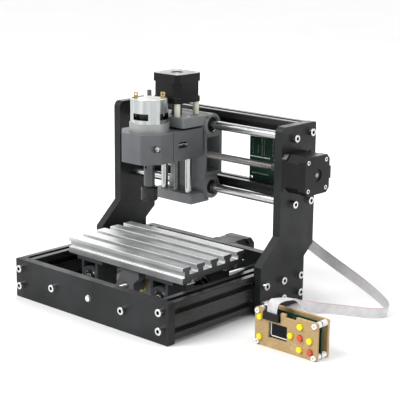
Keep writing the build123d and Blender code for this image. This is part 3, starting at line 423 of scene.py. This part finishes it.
def extent(faces):
    """Lowest and highest corner of some faces."""
    points = [vert.co for face in faces for vert in face.verts]
    low, high = (Vector([pick(p[i] for p in points) for i in range(3)]) for pick in (min, max))
    return low, high


def node_bmesh(node):
    """A copy of a CAD node's mesh, with its doubled vertices welded."""
    bm = bmesh.new()
    bm.from_mesh(NODES[node].data)
    bmesh.ops.remove_doubles(bm, verts=bm.verts, dist=WELD)
    return bm


def softened(node, width=0.0, paint=None, extra=()):
    """A CAD node's own shape with its sharp edges rounded, standing for that node.

    paint gets each solid's faces and may give some of them one of the extra materials, from 1 up.
    """
    bm = node_bmesh(node)
    bmesh.ops.dissolve_limit(bm, angle_limit=radians(0.8), verts=bm.verts, edges=bm.edges)
    for face in bm.faces:
        face.material_index = 0
    if paint:
        bm.normal_update()
        for solid in islands(bm):
            paint(solid)
    mesh = bpy.data.meshes.new(f"{node}_soft")
    bm.to_mesh(mesh)
    bm.free()
    materials = (OWN_LOOK.get(node, MATERIALS[SLOT_OF[node]]), *extra)
    piece = finished(f"{node}_shape", mesh, materials, BODY_OF[node], 25)
    if width:
        rounding = piece.modifiers.new("rounding", "BEVEL")
        rounding.width = width
        rounding.segments = 2
        rounding.limit_method = "ANGLE"
        rounding.angle_limit = radians(32)
        rounding.use_clamp_overlap = True
        rounding.harden_normals = True
    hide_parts(node)


def node_box(node):
    low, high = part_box(node)
    return low, high, (low + high) / 2


# ------------------------------------------------------------------ frame, table and carriage
for node, owner in NODES.items():
    owner.data.materials.clear()
    owner.data.materials.append(MATERIALS[SLOT_OF[node]])

ROUNDED = {  # width of the rounding in mm
    "front_plate": 0.7, "rear_plate": 0.7, "upright_left": 0.7, "upright_right": 0.7,
    "table_blocks": 0.6, "y_nut_block": 0.6, "x_carriage_body": 0.7, "spindle_holder": 0.6,
    "pad_front_panel": 0.15, "pad_rear_panel": 0.15, "side_rails": 0.2, "rear_beams": 0.2,
    "z_standoffs": 0.3, "pad_switches": 0.2, "collet_nut": 0.3,
}
for node, width in ROUNDED.items():
    softened(node, width * MM)


def shaded_table_ends(solid):
    """The table's profile is cut across X, and its cut ends get painted shade, a dark dull metal."""
    low, high = extent(solid)
    for face in solid:
        x = face.calc_center_median().x
        if abs(face.normal.x) > 0.95 and min(abs(x - low.x), abs(x - high.x)) < MM:
            face.material_index = 1


softened("table_top", 0.5 * MM, paint=shaded_table_ends, extra=(TABLE_END_SHADE,))

SOCKET_R, SOCKET_DEEP = 0.53, 0.45  # shares of the head's radius and of the screw's length
SOCKET_RIM = 0.02 * MM  # the head's flat end is less deep than this
END_FACE_SIDES = 12  # a head's round flat end has at least as many sides


def shaded_sockets(solid):
    """Paints shade, near-black, into the wrench socket of a cap screw, whatever way the screw points."""
    low, high = extent(solid)
    size, middle = high - low, (low + high) / 2
    axis = max(range(3), key=lambda i: size[i])
    head_r = sorted(size)[0] / 2
    sides = [i for i in range(3) if i != axis]
    for face in solid:
        at = face.calc_center_median() - middle
        radius = Vector((at[sides[0]], at[sides[1]])).length
        depth = size[axis] / 2 - abs(at[axis])
        deep = SOCKET_RIM < depth < SOCKET_DEEP * size[axis]
        if radius < SOCKET_R * head_r and deep and len(face.verts) < END_FACE_SIDES:
            # painted shade in the socket
            face.material_index = 1


for node in ("frame_fasteners", "z_motor_screws"):
    softened(node, paint=shaded_sockets, extra=(HOLLOW_SHADE,))
softened("board_fixings")


CAP_BEVEL = 0.35 * MM
CAP_GIRTH = 60 * MM  # a solid whose three sizes add up to less is a socket, not a cap
FLANGE_THICK = 8 * MM  # a front flange is thinner than this, a rear cap is thicker


def bare_corners(solid):
    """Bare metal on the cut corners of a flange, for a motor that lies along X or Y."""
    low, high = extent(solid)
    size = high - low
    axis = min(range(3), key=lambda i: size[i])
    if sum(size) < CAP_GIRTH or size[axis] >= FLANGE_THICK:
        return
    for face in solid:
        if min(abs(face.normal[i]) for i in range(3) if i != axis) > 0.6:
            face.material_index = 1


def sheen_on_top_faces(solid):
    """Painted sheen: a lighter grey metal on what faces up on the upright motor's caps."""
    low, high = extent(solid)
    if sum(high - low) < CAP_GIRTH:
        return
    for face in solid:
        if face.normal.z > 0.9:
            # painted sheen on faces that point up
            face.material_index = 1


softened("frame_motor_caps", CAP_BEVEL, paint=bare_corners, extra=(BARE,))
softened("z_motor_caps", CAP_BEVEL, paint=sheen_on_top_faces, extra=(CAP_TOP_SHEEN,))


def stack_layers(solid):
    """The gantry motor lies along X and the base motor along Y, so their sheets lie across those."""
    low, high = extent(solid)
    size = high - low
    width = sorted(size)[1]
    lengthways = max(range(3), key=lambda i: abs(size[i] - width))
    for face in solid:
        face.material_index = lengthways + 1


softened("frame_motor_stacks", paint=stack_layers, extra=(STACKS["X"], STACKS["Y"]))

_, CAN_HIGH, CAN_MIDDLE = node_box("spindle_can")
CAN_RING_TOP = 199.6 * MM  # the wide ring round the can's lower part ends here
CAN_VENT_TOP = CAN_HIGH.z - 8 * MM
CAN_VENT_R = 21.1 * MM  # the vents' walls lie inside this
CAN_LIP = CAN_HIGH.z - 1 * MM  # above this the can gets no painted shade


def can_shade_and_ring(solid):
    """Painted shade, near-black, on the inside of the can and its vents' level walls; its ring is dull.
    """
    for face in solid:
        at = face.calc_center_median()
        out = Vector((at.x - CAN_MIDDLE.x, at.y - CAN_MIDDLE.y, 0))
        inward = face.normal.dot(out) < -0.3 * out.length
        in_vent = CAN_RING_TOP < at.z < CAN_VENT_TOP and out.length < CAN_VENT_R
        if (inward or (in_vent and abs(face.normal.z) > 0.9)) and at.z < CAN_LIP:
            # painted shade inside the can and on the vents' walls
            face.material_index = 1
        elif at.z < CAN_RING_TOP:
            face.material_index = 2


softened("spindle_can", paint=can_shade_and_ring, extra=(HOLLOW_SHADE, DULL_ZINC))


def armature():
    """Wound coils over the armature inside the can, seen through the vents."""
    core_r, core_top, shaft_r = 14 * MM, 210 * MM, 2.6 * MM
    foot = Vector((CAN_MIDDLE.x, CAN_MIDDLE.y, core_top - 12 * MM))
    profile = [(core_r + 0.2 * MM, 0), (core_r + 1.6 * MM, 2 * MM), (core_r + 1.6 * MM, 12 * MM),
               (core_r - 1 * MM, 15 * MM), (shaft_r + 4 * MM, 15.5 * MM), (shaft_r + 2 * MM, 13 * MM)]
    bm = bmesh.new()
    ring(bm, profile, turning((0, 0, 1), foot))
    from_bmesh("armature_winding", bm, WINDING, "spindle_rotor", 40)


armature()


# ------------------------------------------------------------------ bearings
CHAMFER = 0.35 * MM  # on a sleeve's outer edges
WALL = 1.4 * MM  # of a sleeve, outside its seals
INSET = 0.5 * MM  # of a seal's face in its sleeve
GROOVE_IN = 3 * MM  # from a sleeve's end to the middle of its groove
GROOVE_HALF, GROOVE_DEEP = 0.6 * MM, 0.4 * MM  # half of the groove's width, and its depth


def linear_bearings(node, axis, outer, inner):
    """Sleeves with two retaining grooves and black seals in their ends."""
    source = node_bmesh(node)
    places = sorted((extent(faces) for faces in islands(source)), key=lambda pair: tuple(pair[0]))
    source.free()
    bm = bmesh.new()
    for low, high in places:
        half = (high - low)["XYZ".index(axis)] / 2
        place = turning(AXES[axis], (low + high) / 2)
        wall, lip, bottom = outer - WALL, outer - 0.9 * MM, outer - GROOVE_DEEP
        outline = [(wall, INSET - half), (lip, -half),
                   (outer - CHAMFER, -half), (outer, CHAMFER - half)]
        for side in (-1, 1):
            middle = side * (half - GROOVE_IN)
            outline += [(outer, middle - GROOVE_HALF), (bottom, middle - GROOVE_HALF),
                        (bottom, middle + GROOVE_HALF), (outer, middle + GROOVE_HALF)]
        outline += [(outer, half - CHAMFER), (outer - CHAMFER, half),
                    (lip, half), (wall, half - INSET)]
        ring(bm, outline, place)
        for side in (-1, 1):
            face = side * (half - INSET)
            hole, back = inner + 0.15 * MM, face - side * 1.2 * MM
            seal = [(hole, face), (inner + 0.6 * MM, face + side * 0.3 * MM), (outer - 2.2 * MM, face),
                    (wall, face - side * 0.2 * MM), (wall, back), (hole, back)]
            ring(bm, seal, place, 1)
    name = f"{node}_sleeves"
    piece = from_bmesh(name, bm, MATERIALS["bearing_steel"], BODY_OF[node], extra=(SEAL,))
    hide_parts(node)


linear_bearings("x_bearings", "X", 9.5 * MM, 5 * MM)
linear_bearings("y_bearings", "Y", 9.5 * MM, 5 * MM)
linear_bearings("z_bearings", "Z", 7.5 * MM, 4 * MM)


# ------------------------------------------------------------------ lead screws
THREAD_PITCH, THREAD_DEPTH, STARTS = 2 * MM, 0.75 * MM, 2
FLANK = 0.14  # share of the pitch, for half a crest and for each flank
RUN_OUT = 0.8 * MM  # over this length at each end, the thread sinks to a little under its root
RINGS_PER_PITCH, AROUND = 10, 20
IN_COUPLER = 7.5 * MM  # the screw ends this far inside its coupler
SHAFT_GAP, SHAFT_R, SHAFT_BEVEL = 0.5 * MM, 2.5 * MM, 0.4 * MM  # the motor's shaft, past the screw


def leadscrew(node, axis, coupler):
    """Two-start trapezoid thread, and the plain motor shaft beyond the coupler."""
    low, high, foot = node_box(node)
    index = "XYZ".index(axis)
    start, stop, far = low[index], node_box(coupler)[0][index] + IN_COUPLER, high[index]
    radius = (high[(index + 1) % 3] - low[(index + 1) % 3]) / 2
    foot[index] = 0
    place = turning(AXES[axis], foot)
    bm = bmesh.new()
    count = int((stop - start) / THREAD_PITCH * RINGS_PER_PITCH)
    rings = []
    for k in range(count + 1):
        height = start + (stop - start) * k / count
        full = min(1.0, min(height - start, stop - height) / RUN_OUT)
        turn = []
        for i in range(AROUND):
            angle = 2 * pi * i / AROUND
            phase = (height / THREAD_PITCH - STARTS * i / AROUND) % 1.0
            cut = min(max((abs(phase - 0.5) - FLANK) / FLANK, 0.0), 1.0)
            r = radius - THREAD_DEPTH * (cut * full + 1.2 * (1 - full))
            turn.append(bm.verts.new(place @ Vector((r * cos(angle), r * sin(angle), height))))
        rings.append(turn)
    for lower, upper in zip(rings, rings[1:]):
        for i in range(AROUND):
            j = (i + 1) % AROUND
            bm.faces.new((lower[i], lower[j], upper[j], upper[i]))
    bm.faces.new(reversed(rings[0])).material_index = 1  # the cut end is bright
    bm.faces.new(rings[-1])
    shaft = [(0, stop + SHAFT_GAP), (SHAFT_R, stop + SHAFT_GAP), (SHAFT_R, far - SHAFT_BEVEL),
             (SHAFT_R - SHAFT_BEVEL, far), (0, far)]
    lathe(bm, shaft, place, 24)
    piece = from_bmesh(f"{node}_thread", bm, MATERIALS["screw_steel"], BODY_OF[node], 40, extra=(TIN,))
    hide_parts(node)


leadscrew("x_leadscrew", "X", "x_coupler")
leadscrew("y_leadscrew", "Y", "y_coupler")
leadscrew("z_leadscrew", "Z", "z_coupler")

# ------------------------------------------------------------------ control board
ORIGIN_MM = Vector((60.25, 14.0, 0.0))  # the model's origin in the machine's own frame
BOARD_LOW, BOARD_HIGH, _ = node_box("control_board")
PIN_PITCH = 2.54  # mm


def row_place(x, y, z):
    """A point given in mm in the machine's own frame."""
    return (Vector((x, y, z)) - ORIGIN_MM) * MM


def solder_joint(bm, x, z, radius):
    """Soldered pin on the board's front: a low cone with the cut pin standing out of it."""
    foot = row_place(x, 0, z)
    foot.y = BOARD_LOW.y
    radius *= MM
    profile = [(radius, 0), (0.75 * radius, 0.25 * MM), (0.42 * radius, 0.6 * MM),
               (0.4 * radius, 1.0 * MM), (0, 1.05 * MM)]
    lathe(bm, profile, turning((0, -1, 0), foot), 10)


PIN_COLUMNS = [  # x, lowest and highest z
    (37.5, 157, 174), (45.5, 158.5, 167), (51, 156.5, 177), (54.5, 156.5, 177),
    (67.5, 157.5, 176.5), (71, 157.5, 176.5), (87, 157.5, 176.5), (91, 157.5, 176.5),
]
PIN_ROWS = [  # least and greatest x, z, radius
    (34, 64, 152.8, 1.15), (70, 92, 152.8, 1.15), (37, 61, 133.5, 0.8), (81, 99, 128.7, 0.8),
    (81, 99, 131.3, 0.8), (96, 112, 184, 0.8), (96, 112, 160, 0.8),
]


def solder_side():
    """Pins on the board's front, where the parts on its back are soldered."""
    bm = bmesh.new()
    for x, low, high in PIN_COLUMNS:
        for i in range(int((high - low) / PIN_PITCH) + 1):
            solder_joint(bm, x, low + PIN_PITCH * i, 0.65)
    for x0, x1, z, radius in PIN_ROWS:
        for i in range(int((x1 - x0) / PIN_PITCH) + 1):
            solder_joint(bm, x0 + PIN_PITCH * i, z, radius)
    for z in (128.099, 195.499):
        solder_joint(bm, 34.9, z, 1.3)
    from_bmesh("board_solder", bm, TIN, "frame", 40)


BOARD_CHIPS = [  # x and z of two corners, height over the board
    (76, 181, 92, 196, 2.2), (68, 138, 77, 145, 1.8), (40, 141.5, 46, 145, 1.6),
    (99, 166, 108, 178, 2.0), (100, 146, 108, 152, 1.8),
]
LEG_STEP = 1.6  # mm from one leg of a chip to the next
BOARD_CANS = [  # x, z, radius, height over the board
    (102, 192, 4.0, 9), (111, 192, 3.2, 7), (112, 130, 3.2, 7), (66, 132, 2.6, 6),
    (72, 132, 2.6, 6), (57.5, 160, 2.2, 5), (76, 160, 2.2, 5),
]
SMALL_PARTS = [  # x, z; by turns they lie and stand
    (95, 140), (95, 144), (80, 150), (84, 150), (112, 140), (112, 145), (60, 178.5),
    (95, 184), (95, 188), (113, 160), (113, 165), (113, 170),
]


def board_parts():
    """Chips, capacitors and small parts on the board's back, clear of the sockets and heat sinks."""
    chips, cans, beige = bmesh.new(), bmesh.new(), bmesh.new()
    back = BOARD_HIGH.y / MM + ORIGIN_MM.y
    leg = Vector((0.5, 0.5, 0.9))
    for x0, z0, x1, z1, tall in BOARD_CHIPS:
        block(chips, row_place(x0, back, z0), row_place(x1, back + tall, z1), 0.2 * MM)
        for i in range(int((x1 - x0) / LEG_STEP)):
            for z in (z0 - leg.z, z1):
                low = row_place(x0 + 0.6 + LEG_STEP * i, back + 0.05, z)
                block(beige, low, low + leg * MM, 0.05 * MM)
    for x, z, radius, tall in BOARD_CANS:
        place = turning((0, 1, 0), row_place(x, back, z)) @ Matrix.Scale(MM, 4)
        profile = [(radius, 0), (radius, 0.2 * radius), (0.92 * radius, 0.26 * radius),
                   (radius, 0.34 * radius), (radius, tall - 0.4), (radius - 0.4, tall), (0, tall)]
        lathe(cans, profile, place, 24)
    for i, (x, z) in enumerate(SMALL_PARTS):
        low = row_place(x, back, z)
        size = Vector((1.2, 0.6, 2.0) if i % 2 else (2.0, 0.6, 1.2)) * MM
        block(beige, low, low + size, 0.1 * MM)
    from_bmesh("board_chips", chips, CHIP, "frame")
    from_bmesh("board_capacitors", cans, MATERIALS["heat_sink"], "frame")
    from_bmesh("board_small_parts", beige, BEIGE, "frame")


solder_side()
board_parts()


# ------------------------------------------------------------------ hand pad details
PAD_CHIPS = [  # x from the board's left edge, z, width, height, thickness
    (58.0, 34.5, 3.0, 1.6, 1.2), (62.5, 35.5, 2.4, 1.2, 0.9), (66.5, 34.2, 2.0, 2.0, 0.8),
    (38.5, 33.5, 3.2, 3.2, 1.4), (13.5, 22, 2.4, 4.4, 1.2), (14, 31, 1.6, 1.6, 0.8),
]


def screen_frame():
    """White bars along the screen's left and lower edges."""
    low, high, _ = node_box("pad_screen")
    front, proud, bar = low.y, low.y - 0.35 * MM, 1.1 * MM
    x0, x1, z0, z1 = low.x + 1.6 * MM, high.x - 0.9 * MM, low.z + 3.4 * MM, high.z - 0.9 * MM
    bm = bmesh.new()
    block(bm, (x0, proud, z0), (x0 + bar, front, z1), 0.1 * MM)
    block(bm, (x0, proud, z0), (x1, front, z0 + bar), 0.1 * MM)
    white = "white_plastic"
    from_bmesh("pad_screen_frame", bm, MATERIALS[white], "frame")


def pad_board_parts():
    """Small chips on the pad board's front, and a row of solder points on its back."""
    low, high, _ = node_box("pad_board")
    face = low.y + 3 * MM
    chips, solder = bmesh.new(), bmesh.new()
    for x, z, width, height, tall in PAD_CHIPS:
        corner = Vector((low.x + x * MM, face - tall * MM, z * MM))
        block(chips, corner, corner + Vector((width, tall, height)) * MM, 0.12 * MM)
    from_bmesh("pad_chips", chips, CHIP, "frame")
    profile = [(0.7 * MM, 0), (0.5 * MM, 0.3 * MM), (0.25 * MM, 0.8 * MM), (0, 0.85 * MM)]
    for i in range(8):
        foot = Vector((low.x + (26 + 4.2 * i) * MM, high.y, 6 * MM))
        lathe(solder, profile, turning((0, 1, 0), foot), 10)
    from_bmesh("pad_solder", solder, TIN, "frame", 40)


def key_tops():
    """A shallow raised ring on each key's front."""
    for name in NODES:
        if not name.startswith("pad_button_"):
            continue
        low, high, middle = node_box(name)
        place = turning((0, -1, 0), Vector((middle.x, low.y, middle.z)))
        radius = (high.x - low.x) / 2
        profile = [(radius * 0.62, -0.02 * MM), (radius * 0.60, 0.16 * MM), (radius * 0.46, 0.16 * MM),
                   (radius * 0.40, 0.02 * MM), (0, 0)]
        bm = bmesh.new()
        lathe(bm, profile, place, 32)
        piece = from_bmesh(f"{name}_ring", bm, MATERIALS[SLOT_OF[name]], BODY_OF[name], 40)


screen_frame()
pad_board_parts()
key_tops()

# ------------------------------------------------------------------ ribbon cable
ROUTE_MM = [  # in the machine's own frame, from the control board to the pad
    (90, 132.1, 121),
    (90, 132.1, 101),
    (90.5, 133.5, 81),
    (99, 134.5, 63.5),
    (121, 135, 52.6),
    (152, 135, 39.9),
    (183, 135.5, 27.5),
    (207, 136, 16),
    (225, 132, 8),
    (231, 119, 6),
    (221, 106, 6),
    (201, 97.5, 6),
    (178, 87.5, 6),
    (164, 78, 6.5),
    (160, 62, 12),
    (166, 46, 20),
    (177, 28, 29),
    (189, 9, 37.5),
    (199, -8, 45.5),
    (204, -23, 50),
    (201.5, -35, 51),
    (198.3, -40.3, 47.5),
    (198.3, -40.3, 38),
]
RIBBON_W, RIBBON_T, WIRES = 12.7 * MM, 0.9 * MM, 10
WIRE_STEPS = 6  # points across one wire of the ribbon
GROOVE_THICK = 0.55  # share of the ribbon's thickness that is left between two wires


def ribbon_line():
    """The ribbon's centreline, read from a NURBS spline through the route's points."""
    curve = bpy.data.curves.new("ribbon_route", "CURVE")
    curve.dimensions = "3D"
    spline = curve.splines.new("NURBS")
    spline.points.add(len(ROUTE_MM) - 1)
    for point, place in zip(spline.points, ROUTE_MM):
        point.co = (*row_place(*place), 1)
    spline.order_u = 3
    spline.use_endpoint_u = True
    spline.resolution_u = 8
    holder = bpy.data.objects.new("ribbon_route", curve)
    mesh = bpy.data.meshes.new_from_object(holder)
    line = [v.co.copy() for v in mesh.vertices]
    bpy.data.objects.remove(holder)
    return line


WIDTH_TURNS = [  # share of the way along, and the direction of the ribbon's width there
    (0.00, (-1, 0, 0)), (0.08, (-1, 0, -0.1)), (0.17, (-0.55, -0.25, -0.9)), (0.26, (-0.3, -0.1, -1)),
    (0.46, (-0.25, 0.15, -1)), (0.53, (0, 0, -1)), (0.64, (0.05, 0.05, -1)), (0.72, (0.6, 0.2, -0.75)),
    (0.80, (0.9, 0.3, -0.3)), (0.90, (0.97, 0.25, 0)), (0.96, (1, 0.1, 0)), (1.00, (1, 0, 0)),
]


def width_at(part):
    for (p0, d0), (p1, d1) in zip(WIDTH_TURNS, WIDTH_TURNS[1:]):
        if part <= p1:
            t = (part - p0) / (p1 - p0)
            return Vector(d0).normalized().lerp(Vector(d1).normalized(), t * t * (3 - 2 * t))
    return Vector(WIDTH_TURNS[-1][1])


def ribbon_outline():
    """Section of the flat cable: a low hump over each wire, on both faces."""
    wire = RIBBON_W / WIRES
    top = []
    for i in range(WIRES * WIRE_STEPS + 1):
        thick = GROOVE_THICK + (1 - GROOVE_THICK) * abs(sin(pi * i / WIRE_STEPS))
        top.append((wire * i / WIRE_STEPS - RIBBON_W / 2, 0.5 * RIBBON_T * thick))
    return top + [(x, -y) for x, y in reversed(top)]


def ribbon():
    """The flat cable along its route, with its first wire marked, and grooves between the wires with
    painted shade in them.
    """
    line = ribbon_line()
    lengths = [0.0]
    for a, b in zip(line, line[1:]):
        lengths.append(lengths[-1] + (b - a).length)
    total = lengths[-1]
    outline = ribbon_outline()
    bm = bmesh.new()
    rings = []
    for i, point in enumerate(line):
        before, after = line[max(i - 1, 0)], line[min(i + 1, len(line) - 1)]
        tangent = (after - before).normalized()
        width = width_at(lengths[i] / total)
        width = (width - tangent * width.dot(tangent)).normalized()
        up = tangent.cross(width)
        rings.append([bm.verts.new(point + width * x + up * y) for x, y in outline])
    count = len(outline)
    for lower, upper in zip(rings, rings[1:]):
        for i in range(count):
            j = (i + 1) % count
            face = bm.faces.new((lower[i], lower[j], upper[j], upper[i]))
            x = (outline[i][0] + outline[j][0]) / 2
            if x < RIBBON_W / WIRES - RIBBON_W / 2:
                face.material_index = 1
            elif i % WIRE_STEPS in (0, WIRE_STEPS - 1):
                # painted shade in the groove
                face.material_index = 2
    bm.faces.new(reversed(rings[0]))
    bm.faces.new(rings[-1])
    extra = (RIBBON_EDGE, RIBBON_GROOVE_SHADE)
    piece = from_bmesh("ribbon_flat", bm, MATERIALS["ribbon_grey"], "frame", 50, extra)
    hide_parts("ribbon_cable")
    return piece, line, total


ribbon_piece, ribbon_path, ribbon_length = ribbon()
print("ribbon length", round(ribbon_length, 4))

# ------------------------------------------------------------------ camera, light and floor
CAMERA_MM = (929.5, -952.8, 440.0)
YAW, PITCH, ROLL, LENS = radians(42.32), radians(13.75), radians(0.54), 109.67


def camera():
    data = bpy.data.cameras.new("camera")
    data.lens = LENS
    data.sensor_width = 36
    data.clip_end = 20
    view = bpy.data.objects.new("camera", data)
    bpy.context.scene.collection.objects.link(view)
    forward = Vector((-sin(YAW) * cos(PITCH), cos(YAW) * cos(PITCH), -sin(PITCH)))
    level = Vector((cos(YAW), sin(YAW), 0))
    upright = level.cross(forward)
    right = level * cos(ROLL) + upright * sin(ROLL)
    up = upright * cos(ROLL) - level * sin(ROLL)
    turn = Matrix((right, up, -forward)).transposed().to_4x4()
    view.matrix_world = Matrix.Translation(row_place(*CAMERA_MM)) @ turn
    bpy.context.scene.camera = view


def lamp(data, place, direction):
    """A light shining in a direction."""
    holder = bpy.data.objects.new(data.name, data)
    bpy.context.scene.collection.objects.link(holder)
    turn = Vector(direction).to_track_quat("-Z", "Y").to_matrix().to_4x4()
    holder.matrix_world = Matrix.Translation(place) @ turn


def light(name, place, target, size, power):
    data = bpy.data.lights.new(name, "AREA")
    data.size = size
    data.energy = power
    lamp(data, place, Vector(target) - Vector(place))


def floor():
    bm = bmesh.new()
    bmesh.ops.create_grid(bm, x_segments=8, y_segments=8, size=6)
    mesh = bpy.data.meshes.new("floor")
    bm.to_mesh(mesh)
    bm.free()
    mesh.materials.append(floor_paper("floor_paper"))
    ground = bpy.data.objects.new("floor", mesh)
    bpy.context.scene.collection.objects.link(ground)


def sun(direction, strength, spread):
    data = bpy.data.lights.new("sun", "SUN")
    data.energy = strength
    data.angle = radians(spread)
    lamp(data, (0, 0, 0), direction)


camera()
floor()
sun((0.55, 0.95, -1.15), 2.3, 35)
light("overhead", (0.1, 0.3, 1.7), (0, 0, 0.1), 1.2, 8)
light("front_left", (-1.3, -1.4, 0.9), (0, 0, 0.12), 0.9, 3)
light("right", (1.6, 0.5, 0.7), (0, 0, 0.12), 0.8, 7)
light("behind", (-1.1, 1.5, 0.9), (0, 0, 0.15), 1.4, 9)
world = bpy.data.worlds.new("studio")
world.use_nodes = True
background = world.node_tree.nodes["Background"]
background.inputs["Color"].default_value = (1, 1, 1, 1)
background.inputs["Strength"].default_value = 0.62
bpy.context.scene.world = world
bpy.context.scene.view_settings.view_transform = "Standard"
